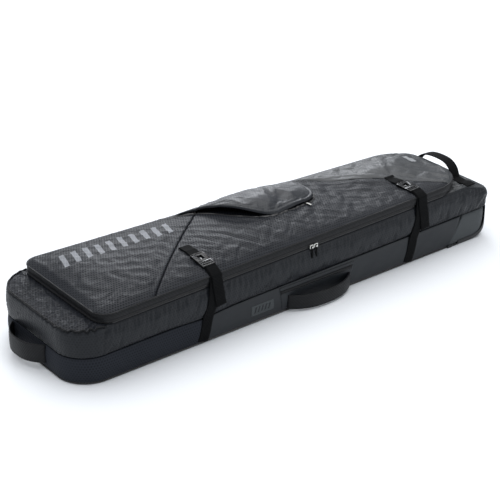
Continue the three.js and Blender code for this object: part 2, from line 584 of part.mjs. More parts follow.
// ---------------------------------------------------------------- zip sliders and their pullers
const sliderX = { foot: slider.centre - slider.apart / 2, wheel: slider.centre + slider.apart / 2 };
for (const [side, x] of Object.entries(sliderX)) {
  const z = zipZ(x);
  const y = -slider.offFace - slider.thick;
  const pinZ = z - 1;
  const pinEnd = y - puller.thick - 2;
  const body = boxSolid(x - slider.length / 2, x + slider.length / 2, y, -slider.offFace,
    z - slider.height / 2, z + slider.height / 2)
    .add(barY(slider.pin, x, pinZ, pinEnd + 0.5, y, 16))
    .add(barY(puller.eye + slider.pinCap, x, pinZ, pinEnd, pinEnd + slider.pinCap, 16));
  addPart(`zip_slider_${side}`, 'nickel', body, nearSide);
  const outer = y - slider.offFace;
  const inner = outer - puller.thick + slider.offFace * 1.5;
  const tab = boxSolid(x - puller.width / 2, x + puller.width / 2, inner, outer, pinZ - puller.length, z + 3)
    .subtract(barY(puller.eye, x, pinZ, inner - 5, outer + 5, 16));
  addPart(`zip_puller_${side}`, 'webbing', tab, nearSide);
}

// ---------------------------------------------------------------- side haul handle
const patchOut = gap + patch.thick;
addPart('side_handle_patch', 'tarpaulin', prismY([
  [sideHandle.start - patch.overhang, patch.low],
  [sideHandle.end + patch.overhang - patch.slantBottom, patch.low],
  [sideHandle.end + patch.overhang, patch.high],
  [sideHandle.start - patch.overhang - patch.slantTop, patch.high],
], -patchOut, -gap), nearSide);

// a wide band that leaves the wall at both ends and stands out by reach in the middle
function bulgingBand(start, end, reach, thick) {
  const steps = 20;
  const inner = [];
  const outer = [];
  for (let i = 0; i <= steps; i += 1) {
    const t = i / steps;
    const out = reach * (1 - Math.abs(2 * t - 1) ** 2.6);
    inner.push([mix(start, end, t), -out]);
    outer.push([mix(start, end, t), -out - thick]);
  }
  return [...outer, ...inner.reverse()];
}
const sideRoot = patchOut + gap * 2; // the handle's roots and its swing line stand this far off the wall
addPart('side_handle', 'webbing', prismZ(
  bulgingBand(sideHandle.start, sideHandle.end, sideHandle.reach, sideHandle.thick)
    .map(([x, y]) => [x, y - sideRoot]), sideHandle.low, sideHandle.high), nearSide);

// ---------------------------------------------------------------- foot-end handle
const footRoot = gap * 2;
addPart('foot_handle', 'webbing', prismZ(
  bulgingBand(footHandle.start, footHandle.end, footHandle.reach, footHandle.thick)
    .map(([y, out]) => [xFoot + out - footRoot, y]).reverse(), footHandle.low, footHandle.high));

// ---------------------------------------------------------------- wheel-end handle
const endX = xWheel - endHandle.centre;
const endDeck = deckZ(endX);
// the strap's inner face: distances in from its near (+) or far (-) root, and shares of its rise
const endShape = [[0, 0], [14, 0.62], [42, 0.97], [84, 0.98], [-46, 0.72], [-1e-6, 0]];
const endPath = new THREE.CatmullRomCurve3(endShape.map(([d, share]) => new THREE.Vector3(
  0, (d < 0 ? endHandle.far : endHandle.near) + d, endDeck + endHandle.stand + endHandle.rise * share)));
const endPoints = endPath.getPoints(22).map((p) => [p.y, p.z]);
// the strap narrows to its sewn roots, so that it can tip to either side
const fullWidthZ = endDeck + endHandle.width / endHandle.rootShare;
const rootHalf = endHandle.stand * endHandle.rootShare;
const endTaper = prismY([
  [endX - endHandle.width, fullWidthZ],
  [endX - rootHalf, endDeck + endHandle.stand],
  [endX + rootHalf, endDeck + endHandle.stand],
  [endX + endHandle.width, fullWidthZ],
], -wide, wide).add(boxSolid(endX - endHandle.width, endX + endHandle.width,
  -wide, wide, fullWidthZ - 1, above));
addPart('wheel_end_handle', 'webbing', ribbon(endPoints, endHandle.thick, endHandle.width, endX)
  .intersect(endTaper));
const tabLayer = heightSolid(endX - endHandle.width / 2, endX + endHandle.width / 2, 1, 1,
  (x) => deckZ(x) + gap, (x) => deckZ(x) + gap + endTab.thick);
addPart('end_handle_tab_near', 'webbing', tabLayer.intersect(
  boxSolid(xLidWheel, xWheel, endHandle.near - endTab.nearLength, endHandle.near + endTab.under, 0, above)));
addPart('end_handle_tab_far', 'webbing', tabLayer.intersect(
  boxSolid(xLidWheel, xWheel, endHandle.far - endTab.under, endHandle.far + endTab.farLength, 0, above)));

// ---------------------------------------------------------------- tail guard
const guardRing = (depth) => {
  const quarter = (r, from, to) => arc(guardCentre[0], guardCentre[1], r, from, to, 10);
  const outer = [[guardX, guard.lift], ...quarter(guard.radius, -Math.PI / 2, 0), [xWheel, guard.top]];
  const inner = [[xWheel - depth, guard.top], ...quarter(guard.radius - depth, 0, -Math.PI / 2),
    [guardX, guard.lift + depth]];
  return prismY([...outer, ...inner], -wide, wide);
};
// the flange runs on under the tail panels as a low rail that ends in a lug
const lugEnd = xWheel - lug.fromEnd + lug.length;
const lugRail = boxSolid(lugEnd, guardX + 1, -wide, wide, guard.lift, guard.lift + lug.rail)
  .add(boxSolid(lugEnd - lug.length, lugEnd, -wide, wide, lug.lift, lug.height));
const guardPlan = prismZ(bagOutline(-flange.out), -below, above);
let guardBody = guardRing(guard.thick).intersect(guardPlan)
  .add(guardRing(flange.depth).add(lugRail).intersect(guardPlan)
    .subtract(prismZ(bagOutline(-gap), -below * 2, above * 2)));
for (const side of ['near', 'far']) guardBody = guardBody.subtract(wheelBar(side, wellRadius, wellHalf));
addPart('tail_guard', 'moulding', guardBody);

// ---------------------------------------------------------------- wheels in their housings
function turned(side, profile) {
  const lathe = new THREE.LatheGeometry(profile.map(([r, y]) => new THREE.Vector2(r, y)), 36);
  return toSolid(lathe.translate(wheelX, wheelSides[side], wheelZ));
}
const tyreProfile = (r, half) => [
  [r, -half], [wheel.radius - wheel.chamfer, -half], [wheel.radius, -half + wheel.tread],
  [wheel.radius, half - wheel.tread], [wheel.radius - wheel.chamfer, half], [r, half], [r, -half],
];
for (const side of ['near', 'far']) {
  const half = wheel.width / 2;
  const housing = housingShape(side, 0).intersect(keepInsideGuard).intersect(prismZ(bagOutline(gap), 0, above))
    .subtract(wheelBar(side, wellRadius, wellHalf))
    .subtract(wheelBar(side, axle.radius + bearing.play, wellHalf + cheek * 2, 24));
  addPart(`${side}_wheel_housing`, 'moulding', housing);
  const head = (middle) => barY(axle.headRadius, wheelX, wheelZ,
    wheelSides[side] + middle - axle.head / 2, wheelSides[side] + middle + axle.head / 2, 24);
  const headMiddle = pinHalf + axle.head / 2;
  const pin = wheelBar(side, axle.radius, pinHalf + axle.head, 24).add(head(-headMiddle)).add(head(headMiddle));
  addPart(`${side}_axle`, 'steel', pin);
  addPart(`${side}_tyre`, 'tyre', turned(side, tyreProfile(wheel.hubRadius + gap, half)));
  addPart(`${side}_hub`, 'moulding', wheelBar(side, wheel.hubRadius, half - 1, 36)
    .subtract(wheelBar(side, bearing.outer + gap, half, 24)));
  const race = wheelBar(side, bearing.outer, bearing.width / 2, 24)
    .subtract(wheelBar(side, axle.radius + bearing.play, bearing.width, 24));
  addPart(`${side}_bearing`, 'steel', race);
}

export default model;
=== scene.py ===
# %% [markdown]
# # A wheeled snowboard bag
# The bag is a long tapered box of padded fabric: a flat base, walls sewn from two strips, a domed lid with
# a zip round three sides, and a moulded guard with wheels at one end. The solid model already fixes every
# size and every moving body, so each step below dresses one group of solids in sewn, wrinkled cloth.
# %% Load the solid model
import json
import math

import bmesh
import bpy
import numpy as np
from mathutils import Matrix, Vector
from mathutils.bvhtree import BVHTree


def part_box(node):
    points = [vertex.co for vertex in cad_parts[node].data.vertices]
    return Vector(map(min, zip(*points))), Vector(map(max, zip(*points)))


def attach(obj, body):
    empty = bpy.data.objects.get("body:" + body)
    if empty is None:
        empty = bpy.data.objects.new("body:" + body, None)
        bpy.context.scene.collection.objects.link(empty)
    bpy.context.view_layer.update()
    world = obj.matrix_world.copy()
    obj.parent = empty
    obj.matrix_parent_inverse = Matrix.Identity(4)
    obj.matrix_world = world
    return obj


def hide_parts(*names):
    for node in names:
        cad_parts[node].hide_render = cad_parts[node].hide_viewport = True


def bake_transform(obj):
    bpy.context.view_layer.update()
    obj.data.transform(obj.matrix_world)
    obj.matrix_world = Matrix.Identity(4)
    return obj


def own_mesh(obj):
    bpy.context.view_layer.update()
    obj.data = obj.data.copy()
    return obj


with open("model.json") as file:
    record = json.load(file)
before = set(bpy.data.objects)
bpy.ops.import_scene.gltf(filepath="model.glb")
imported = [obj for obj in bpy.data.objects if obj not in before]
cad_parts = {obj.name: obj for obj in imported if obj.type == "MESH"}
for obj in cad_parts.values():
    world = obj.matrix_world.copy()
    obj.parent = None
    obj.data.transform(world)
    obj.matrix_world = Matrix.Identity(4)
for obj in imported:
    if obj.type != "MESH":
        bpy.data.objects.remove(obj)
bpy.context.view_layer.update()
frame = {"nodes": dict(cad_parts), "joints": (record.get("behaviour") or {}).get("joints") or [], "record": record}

# %% [markdown]
# The camera comes first, because it decides what has to look right. A long lens from far away keeps the
# sides of a long bag nearly parallel, as a catalogue picture does. It looks down on the bag from the foot
# end. The angles could be typed in, but tracking the -Z axis to a target says directly what it looks at.
# %% Camera
def look(obj, eye, target):
    """Place a camera or a lamp at eye and turn its -Z axis to the target."""
    obj.location = eye
    obj.rotation_euler = (Vector(target) - Vector(eye)).to_track_quat("-Z", "Y").to_euler()
    bpy.context.scene.collection.objects.link(obj)
    return obj


lens = bpy.data.cameras.new("long_lens")
lens.sensor_width = 36
lens.lens = 114.3
lens.clip_end = 60
camera = look(bpy.data.objects.new("camera", lens), (-2.7575, -3.6083, 2.3165), (-0.0177, 0.0519, 0.1))
bpy.context.scene.camera = camera
print("camera stands", round((camera.location - Vector((0, 0, 0.1))).length, 2), "m from the bag")

# %% [markdown]
# Every finish is a node material. Colours are written as the hex values a colour picker shows, and one
# function turns them into the linear values the renderer works in. One more helper adds a node with its
# settings and its links, so that a material reads as a short list.
# %% Material helpers
def linear(code):
    """sRGB hex such as '#2c3034' to linear RGBA."""
    parts = [int(code[i:i + 2], 16) / 255 for i in (1, 3, 5)]
    return (*[c / 12.92 if c <= 0.04045 else ((c + 0.055) / 1.055) ** 2.4 for c in parts], 1.0)


def add(tree, kind, inputs=(), **settings):
    """A new node; inputs maps a socket to a value or to another node's first output."""
    made = tree.nodes.new(kind)
    for name, value in settings.items():
        setattr(made, name, value)
    for name, value in dict(inputs).items():
        if isinstance(value, bpy.types.Node):
            value = next(o for o in value.outputs if o.enabled)
        if isinstance(value, bpy.types.NodeSocket):
            tree.links.new(value, made.inputs[name])
        else:
            made.inputs[name].default_value = value
    return made


def material(name, **shader):
    """A Principled material with constant sockets set; returns (material, tree, shader node)."""
    made = bpy.data.materials.new(name)
    made.use_nodes = True
    tree = made.node_tree
    principled = tree.nodes["Principled BSDF"]
    for socket, value in shader.items():
        principled.inputs[socket.replace("_", " ")].default_value = value
    return made, tree, principled


def plug(tree, shader, **sockets):
    """Link nodes to the shader's sockets."""
    for socket, node in sockets.items():
        source = next(o for o in node.outputs if o.enabled)
        tree.links.new(source, shader.inputs[socket.replace("_", " ")])


# %% [markdown]
# The main cloth is polyester ripstop with small dots pressed into it in a honeycomb, about 9 mm apart. The
# threads are far too fine to see, so the weave is drawn at 2 mm, just enough to break up the sheen. The dots
# come from two grids of cells, one shifted by half a cell, and the nearer centre wins. A pressed dot is
# darker and rougher than the cloth round it, which is what makes the pattern read from a distance.
# %% Ripstop polyester, dot embossed
DOT_PITCH = 0.009
ROW = 3 ** 0.5  # height of a cell over its width


def ripstop(name, ground, dot, dots=1.0, roughness=0.45, **shader_values):
    """Woven polyester with pressed dots: ground and dot are its two shades, dots how strongly they show."""
    made, tree, shader = material(name, IOR=1.5, **shader_values)
    uv = add(tree, "ShaderNodeUVMap", uv_map="cloth")
    reach = []
    for shift in (0.0, 0.5):
        cells = add(tree, "ShaderNodeMapping", {0: uv, "Location": (shift, shift, 0),
                                                "Scale": (1 / DOT_PITCH, 1 / (DOT_PITCH * ROW), 1)})
        part = add(tree, "ShaderNodeVectorMath", {0: cells}, operation="FRACTION")
        middle = add(tree, "ShaderNodeVectorMath", {0: part, 1: (0.5, 0.5, 0)}, operation="SUBTRACT")
        square = add(tree, "ShaderNodeVectorMath", {0: middle, 1: (1, ROW, 0)}, operation="MULTIPLY")
        reach.append(add(tree, "ShaderNodeVectorMath", {0: square}, operation="LENGTH"))
    nearest = add(tree, "ShaderNodeMath", {0: reach[0], 1: reach[1]}, operation="MINIMUM")
    spots = add(tree, "ShaderNodeMapRange", {0: nearest, 1: 0.22, 2: 0.38, 3: dots, 4: 0.0})
    broad = add(tree, "ShaderNodeTexNoise", {"Vector": uv, "Scale": 7.0, "Detail": 3.0})
    worn = add(tree, "ShaderNodeMapRange", {0: broad, 1: 0.35, 2: 0.65, 3: 0.6, 4: 1.0})
    shade = add(tree, "ShaderNodeMath", {0: spots, 1: worn}, operation="MULTIPLY")
    base = add(tree, "ShaderNodeMix", {0: shade, 6: linear(ground), 7: linear(dot)}, data_type="RGBA")
    gloss = add(tree, "ShaderNodeMapRange", {0: shade, 1: 0.0, 2: 1.0, 3: roughness, 4: 0.95})
    weave = add(tree, "ShaderNodeTexWave", {"Vector": uv, "Scale": 80.0, "Distortion": 1.0},
                bands_direction="DIAGONAL")
    threads = add(tree, "ShaderNodeMath", {0: weave.outputs[1], 1: 0.10}, operation="MULTIPLY")
    height = add(tree, "ShaderNodeMath", {0: threads, 1: spots}, operation="SUBTRACT")
    crumpled = add(tree, "ShaderNodeTexNoise", {"Vector": uv, "Scale": 90.0, "Detail": 2.0})
    relief = add(tree, "ShaderNodeMath", {0: crumpled, 1: height}, operation="ADD")
    bump = add(tree, "ShaderNodeBump", {"Height": relief, "Distance": 0.0006, "Strength": 0.6})
    plug(tree, shader, Base_Color=base, Roughness=gloss, Normal=bump)
    return made


shell_ripstop = ripstop("ripstop polyester, dot embossed", "#1d2026", "#08090b", 0.75, 0.44,
                        Specular_IOR_Level=0.2)
# The pocket is the lid's cloth with a lighter ground: painted light, for the pocket's top, which is lit more
# brightly than the lid round it.
pocket_ripstop_painted_light = ripstop("ripstop polyester, pocket, painted lighter", "#25282d", "#191b1e", 0.3, 0.36,
                         Specular_IOR_Level=0.36)
wall_ripstop = ripstop("ripstop polyester, side walls", "#1d2024", "#121417", 0.45, 0.38,
                       Specular_IOR_Level=0.23)
# The foot end is the walls' cloth again: its lighter ground is painted light for the lit near corner, and its low
# sheen keeps the shaded end dark.
foot_ripstop_painted_light = ripstop("ripstop polyester, foot end, painted light", "#2b2e34", "#191b1e", 0.6, 0.6,
                       Specular_IOR_Level=0.07)
# The rear panel's lighter ground is partly its own greyer cloth and partly painted sheen, for the light that the
# rear of the lid catches.
tail_ripstop_and_painted_sheen = ripstop("ripstop polyester, plain tail panel, painted sheen", "#2d3033", "#232527", 0.25, 0.4,
                           Specular_IOR_Level=0.42)
print("ripstop dots", DOT_PITCH * 1000, "mm apart")

# %% [markdown]
# Two fabrics are coated, which hides the weave: tarpaulin is polyester coated with PVC, so it is smooth and
# slightly glossy, and the tail panels are rubberised and matte grey. Both keep a faint grain.
# %% Coated fabrics
def coated(name, dark, light, roughness, grain, depth, **shader_values):
    """Coated fabric: grain is the number of surface grains to the metre, depth their height."""
    made, tree, shader = material(name, IOR=1.5, **shader_values)
    uv = add(tree, "ShaderNodeUVMap", uv_map="cloth")
    mottled = add(tree, "ShaderNodeTexNoise", {"Vector": uv, "Scale": 12.0, "Detail": 3.0})
    base = add(tree, "ShaderNodeMix", {0: mottled, 6: linear(dark), 7: linear(light)}, data_type="RGBA")
    gloss = add(tree, "ShaderNodeMapRange",
                {0: mottled, 1: 0.3, 2: 0.7, 3: roughness - 0.06, 4: roughness + 0.06})
    grains = add(tree, "ShaderNodeTexNoise", {"Vector": uv, "Scale": grain, "Detail": 2.0})
    bump = add(tree, "ShaderNodeBump", {"Height": grains, "Distance": depth, "Strength": 0.5})
    plug(tree, shader, Base_Color=base, Roughness=gloss, Normal=bump)
    return made


tarpaulin = coated("PVC coated tarpaulin", "#1b1e22", "#23272b", 0.42, 700.0, 0.0002, Specular_IOR_Level=0.3)
rubberised = coated("rubberised polyester", "#3c4042", "#474b4d", 0.6, 500.0, 0.0003, Specular_IOR_Level=0.25)
print("coated fabrics:", tarpaulin.name, "and", rubberised.name)

# %% [markdown]
# Webbing is thick woven tape. Its ribs run across it and are only a bump in the shading; no rib is modelled.
# The folded binding and the label are the same weave in other shades.
# %% Webbing
RIBS_PER_METRE = 660  # 1.5 mm from rib to rib; a wave texture of scale s has s * 6.28 bands to the metre


def webbing(name, dark, light, roughness=0.7, **shader_values):
    """Flat polyester tape: ribs run across it, crossed by a coarse twill."""
    made, tree, shader = material(name, Roughness=roughness, IOR=1.5, **shader_values)
    uv = add(tree, "ShaderNodeUVMap", uv_map="cloth")
    ribs = add(tree, "ShaderNodeTexWave", {"Vector": uv, "Scale": RIBS_PER_METRE / 6.28, "Distortion": 0.4},
               bands_direction="X")
    twill = add(tree, "ShaderNodeTexWave", {"Vector": uv, "Scale": 60.0}, bands_direction="DIAGONAL")
    weave = add(tree, "ShaderNodeMath", {0: ribs.outputs[1], 1: twill.outputs[1]}, operation="MULTIPLY")
    broad = add(tree, "ShaderNodeTexNoise", {"Vector": uv, "Scale": 40.0, "Detail": 3.0})
    worn = add(tree, "ShaderNodeMath", {0: weave, 1: broad}, operation="MULTIPLY")
    base = add(tree, "ShaderNodeMix", {0: worn, 6: linear(dark), 7: linear(light)}, data_type="RGBA")
    bump = add(tree, "ShaderNodeBump", {"Height": weave, "Distance": 0.0005, "Strength": 0.7})
    plug(tree, shader, Base_Color=base, Normal=bump)
    return made


tape = webbing("polyester webbing", "#090a0b", "#17181a", 0.75, Specular_IOR_Level=0.08)
edge_tape = webbing("folded grosgrain binding", "#101113", "#232528", 0.5, Specular_IOR_Level=0.22)
woven_label = webbing("light grey woven label", "#85888b", "#a3a6a9")
print("webbing ribs", round(1000 / RIBS_PER_METRE, 2), "mm apart")

# %% [markdown]
# Hard materials: acetal for the buckles and polypropylene for the guard and housings are both dark plastics.
# Acetal is moulded glossy, polypropylene has a fine spark-eroded grain of about 1 mm here. Sliders are zinc
# with nickel plating, wheels have a polyurethane tread, and the axles are turned steel.
# %% Plastics, metals and rubber
def hard(name, dark, light, roughness, grain=900.0, depth=0.00015, **shader_values):
    """A moulded or plated material whose shade, gloss and surface vary a little over the piece."""
    made, tree, shader = material(name, **shader_values)
    place = add(tree, "ShaderNodeTexCoord").outputs["Object"]
    broad = add(tree, "ShaderNodeTexNoise", {"Vector": place, "Scale": 30.0, "Detail": 3.0})
    base = add(tree, "ShaderNodeMix", {0: broad, 6: linear(dark), 7: linear(light)}, data_type="RGBA")
    gloss = add(tree, "ShaderNodeMapRange",
                {0: broad, 1: 0.3, 2: 0.7, 3: roughness * 0.8, 4: roughness * 1.2})
    grains = add(tree, "ShaderNodeTexNoise", {"Vector": place, "Scale": grain, "Detail": 2.0})
    bump = add(tree, "ShaderNodeBump", {"Height": grains, "Distance": depth, "Strength": 0.4})
    plug(tree, shader, Base_Color=base, Roughness=gloss, Normal=bump)
    return made


acetal = hard("moulded acetal", "#08090a", "#121315", 0.22, IOR=1.48)
polypropylene = hard("grained polypropylene", "#101113", "#1a1c1e", 0.4, IOR=1.49)
gloss_edge = hard("gloss PVC piping", "#090a0b", "#121315", 0.2, IOR=1.53)
polyethylene = hard("polyethylene board", "#1b1c1e", "#242628", 0.5, IOR=1.51)
nickel = hard("nickel plated zinc", "#b9b9b5", "#d2d2ce", 0.24, Metallic=1.0)
steel = hard("turned steel", "#8d8f91", "#a4a6a8", 0.34, Metallic=1.0)
polyurethane = hard("polyurethane tread", "#141414", "#1f1f20", 0.62, IOR=1.5)
nylon_coil = hard("nylon coil", "#0b0c0e", "#16171a", 0.4, IOR=1.53)
print("materials:", len(bpy.data.materials))

# %% [markdown]
# The plan of the bag is one tapered outline with round corners. The lid's hinge line lies along the far edge,
# so its place and direction give the width, the taper and the slope of the zip. An outline is kept as a list
# of points with the way each one faces, and can be asked for any distance along it.
# %% The outline of the bag and of its lid
hinge = next(j for j in frame["joints"] if j["name"] == "lid_hinge")
side_slope = -hinge["axis"][1] / hinge["axis"][0]
zip_slope = hinge["axis"][2] / hinge["axis"][0]
mid_half, mid_zip = hinge["pos_m"][1:]
taper = math.atan(side_slope)
foot_end, wheel_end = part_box("foot_lower_wall")[0][0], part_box("wheel_deck")[1][0]
lid_foot, lid_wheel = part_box("lid_band")[0][0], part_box("lid_band")[1][0]
BAG_CORNERS = (0.100, 0.045)  # at the foot and at the wheels
LID_CORNERS = (0.050, 0.130)
CORNER_POINTS = 31


def half_width(x):
    return mid_half - side_slope * x


def zip_z(x):
    return mid_zip + zip_slope * x


def corner(cx, r, side, start, end):
    """A quarter of the outline: x, y and the direction it faces."""
    cy = side * (half_width(cx) - r / math.cos(taper))
    a = np.linspace(start, end, CORNER_POINTS)
    return np.stack([cx + r * np.cos(a), cy + r * np.sin(a), a], 1)


def outline(x0, x1, corners):
    """Starts on the near side at x = 0 and runs by the wheel end, the far side and the foot end."""
    q, t = math.pi / 2, taper
    r0, r1 = corners
    start = np.array([[0, -mid_half, t - q]])
    wheel_near = corner(x1 - r1, r1, -1, t - q, 0)
    wheel_far = corner(x1 - r1, r1, 1, 0, q - t)
    foot_far = corner(x0 + r0, r0, 1, q - t, 2 * q)
    foot_near = corner(x0 + r0, r0, -1, 2 * q, 3 * q + t)
    rows = np.concatenate([start, wheel_near, wheel_far, foot_far, foot_near, start + [[0, 0, 4 * q]]])
    run = np.concatenate([[0], np.cumsum(np.hypot(*np.diff(rows[:, :2], axis=0).T))])
    half_way = run[CORNER_POINTS] + abs(rows[CORNER_POINTS, 1])
    return {"x": rows[:, 0], "y": rows[:, 1], "a": rows[:, 2], "s": run, "length": run[-1],
            "far0": 2 * half_way}


def follow(line, s):
    """x, y and outward direction at distance s along an outline."""
    s = np.mod(s, line["length"])
    x, y, a = (np.interp(s, line["s"], line[k]) for k in "xya")
    return x, y, np.cos(a), np.sin(a)


def near_s(x):
    """Distance along an outline of a place on the near side."""
    return x / math.cos(taper)


def far_s(line, x):
    """Distance along an outline of a place on the far side."""
    return line["far0"] - x / math.cos(taper)


bag_line = outline(foot_end, wheel_end, BAG_CORNERS)
lid_line = outline(lid_foot, lid_wheel, LID_CORNERS)
print("round the bag", round(bag_line["length"], 3), "m, round the lid", round(lid_line["length"], 3), "m")

# %% [markdown]
# The heights of the seams. The walls are sewn from a lower and an upper strip, the zip runs above them, and
# at both ends the top of the wall slopes down to the outer edge of a deck. The lid is a dome that is
# highest over the front half, where the boots go.
# %% Heights of the seams and the lid
SEAM = (0.084, 0.105)       # lower seam, at the foot and the wheel end
DECK_EDGE = (0.168, 0.166)  # outer edges of the two decks
HALF_OPENING = 0.0043       # zip line to the fabric on either side of it
BAND = 0.024                # height of the lid's side band
CROWN = {"front": 0.062, "rear": 0.036, "edge": 0.034, "rise": 0.19, "from": -0.06, "to": 0.36}
PUFF = {"height": 0.017, "x": 0.55, "y": 0.05, "long": 0.15, "wide": 0.085}  # the swell over the rear panel
DIP = {"depth": 0.006, "x": 0.33, "long": 0.07}  # the hollow between that swell and the pocket
RIM = {"slack": 0.0006, "corner_slack": 0.0024, "reach": 0.14, "wave": 0.034, "ripple": 0.019}




def smooth(t):
    t = np.clip(t, 0, 1)
    return t * t * (3 - 2 * t)


def seam_z(x):
    return SEAM[0] + (SEAM[1] - SEAM[0]) * (x - foot_end) / (wheel_end - foot_end)


def wall_top(x):
    rim = zip_z(np.clip(x, lid_foot, lid_wheel)) - HALF_OPENING
    foot = np.clip((lid_foot - x) / (lid_foot - foot_end), 0, 1)
    wheel = np.clip((x - lid_wheel) / (wheel_end - lid_wheel), 0, 1)
    return rim + foot * (DECK_EDGE[0] - rim) + wheel * (DECK_EDGE[1] - rim)


def rim_wave(s, x):
    """Slack in the edge of the foot deck, most at its near corner."""
    corner_s = bag_line["length"] + near_s(foot_end + 0.05)
    near = np.exp(-((np.mod(s, bag_line["length"]) - corner_s) / RIM["reach"]) ** 2)
    wave = np.sin(2 * math.pi * s / RIM["wave"] + 2 * np.sin(s * 37))
    wave = wave + 0.6 * np.sin(2 * math.pi * s / RIM["ripple"])
    return (RIM["slack"] + RIM["corner_slack"] * near) * smooth((lid_foot + 0.08 - x) / 0.08) * wave


def dome(x, y):
    """Height of the lid's skin above the zip line."""
    falling = smooth((x - CROWN["from"]) / (CROWN["to"] - CROWN["from"]))
    puff = np.exp(-((x - PUFF["x"]) / PUFF["long"]) ** 2 - ((y - PUFF["y"]) / PUFF["wide"]) ** 2)
    middle = CROWN["front"] + (CROWN["rear"] - CROWN["front"]) * falling
    middle = middle + PUFF["height"] * puff - DIP["depth"] * np.exp(-((x - DIP["x"]) / DIP["long"]) ** 2)
    across = 1 - np.minimum(1, np.abs(y) / half_width(x)) ** 2.1
    ends = np.clip(np.minimum(x - lid_foot, lid_wheel - x) / CROWN["rise"], 0, 1)
    return CROWN["edge"] + (middle - CROWN["edge"]) * across * (1 - (1 - ends) ** 2.4)


print("crown of the lid", round(float(zip_z(-0.1) + dome(-0.1, 0.0)), 4), "m above the floor")

# %% [markdown]
# Fabric is made from one flat grid per panel. The grid is pushed onto the outline by a placing rule that
# takes its two grid coordinates, from 0 to 1, and gives a place and a position in the cloth in metres, so
# that the weave runs with the panel. Wrinkles are sums of ripples in nearly one direction, with their
# crests pinched.
# %% Grids of cloth
def creases(x, y, wavelength, direction, spread_deg, seed, count=10, pinch=0.6):
    """Irregular folds from -1 to 1 that run along a direction in degrees."""
    random = np.random.default_rng(seed)
    total = np.zeros_like(x)
    for _ in range(count):
        across = math.radians(direction + 90 + random.uniform(-spread_deg, spread_deg))
        k = 2 * math.pi / (wavelength * random.uniform(0.7, 1.6))
        total += np.cos(k * (x * math.cos(across) + y * math.sin(across)) + random.uniform(0, 6.28))
    total /= math.sqrt(count)
    return (1 - pinch) * total * 0.6 + pinch * (1 - 1.6 * np.abs(np.tanh(total)))


def finish(obj, surface, body, thick=0.0, replaced=()):
    """Material, thickness, body and the solids it stands for."""
    obj.data.materials.append(surface)
    obj.data.shade_smooth()
    if thick:
        solid = obj.modifiers.new("thickness", "SOLIDIFY")
        solid.thickness, solid.offset, solid.use_even_offset = thick, -1, True
        solid.thickness_clamp = 0.8
    if body:
        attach(obj, body)
    if replaced:
        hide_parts(*replaced)
    return obj


def outward(bm):
    """Turn the faces of an open sheet away from the line down the middle of the bag."""
    bm.normal_update()
    total = 0.0
    for f in bm.faces:
        c = f.calc_center_median()
        spine = Vector((max(-0.7, min(0.7, c.x)), 0, 0.1))
        total += f.normal.dot(c - spine) * f.calc_area()
    if total < 0:
        bmesh.ops.reverse_faces(bm, faces=bm.faces)


def cloth(name, columns, rows, place, joined=False):
    """An object made from a grid; place(u, v) gives (points, cloth coordinates)."""
    bm = bmesh.new()
    bmesh.ops.create_grid(bm, x_segments=columns, y_segments=rows, size=0.5)
    bm.verts.index_update()
    grid = np.array([v.co[:2] for v in bm.verts]) + 0.5
    points, flat = place(grid[:, 0], grid[:, 1])
    uv = bm.loops.layers.uv.new("cloth")
    for v, p in zip(bm.verts, points):
        v.co = p
    for f in bm.faces:
        for loop in f.loops:
            loop[uv].uv = flat[loop.vert.index]
    if joined:
        bmesh.ops.remove_doubles(bm, verts=bm.verts, dist=1e-5)
        bmesh.ops.dissolve_degenerate(bm, edges=bm.edges, dist=1e-6)
    outward(bm)
    mesh = bpy.data.meshes.new(name)
    bm.to_mesh(mesh)
    bm.free()
    made = bpy.data.objects.new(name, mesh)
    bpy.context.scene.collection.objects.link(made)
    return made


def points_of(obj):
    return np.array([v.co for v in obj.data.vertices], float).reshape(-1, 3)


# %% [markdown]
# Real padded panels get their wrinkles because the shell fabric is cut slightly larger than the space it is
# sewn into. The same happens here: the panels are handed to the cloth solver with their seams pinned, the
# cloth is told to grow by a few per cent with a little air behind it, and after twenty steps it has
# buckled. How far a point may move is capped, so that no fold stands off the bag.
# %% Crumpling sewn panels
def crumple(panels, frames=20):
    """panels: (object, pinned share of each point, growth, pressure, cap in metres, bending stiffness)."""
    scene = bpy.context.scene
    before = {}
    for obj, pinned, grow, pressure, cap, bending in panels:
        group = obj.vertex_groups.new(name="pinned")
        for share in np.unique(np.round(pinned, 1)):
            group.add(np.nonzero(np.round(pinned, 1) == share)[0].tolist(), float(share), "REPLACE")
        sim = obj.modifiers.new("cloth", "CLOTH")
        s = sim.settings
        s.quality, s.mass, s.vertex_group_mass, s.pin_stiffness = 6, 0.1, "pinned", 2.0
        s.tension_stiffness, s.compression_stiffness, s.shear_stiffness = 25, 25, 10
        s.bending_stiffness = bending
        s.shrink_min = -grow
        s.effector_weights.gravity = 0
        s.use_pressure, s.uniform_pressure_force = True, pressure
        sim.collision_settings.use_collision = False
        sim.point_cache.frame_start, sim.point_cache.frame_end = 1, frames
        before[obj.name] = points_of(obj)
    for step in range(1, frames + 1):
        scene.frame_set(step)
    view = bpy.context.evaluated_depsgraph_get()
    for obj, pinned, grow, pressure, cap, bending in panels:
        after = np.array([v.co for v in obj.evaluated_get(view).data.vertices], float).reshape(-1, 3)
        move = after - before[obj.name]
        far = np.linalg.norm(move, axis=1, keepdims=True)
        move *= np.minimum(1, cap / np.maximum(far, 1e-9))
        obj.modifiers.clear()
        obj.vertex_groups.clear()
        obj.data.vertices.foreach_set("co", (before[obj.name] + move).ravel())
        obj.data.update()
        print(obj.name, "moved up to", round(float(far.max()) * 1000, 1), "mm")
    scene.frame_set(1)


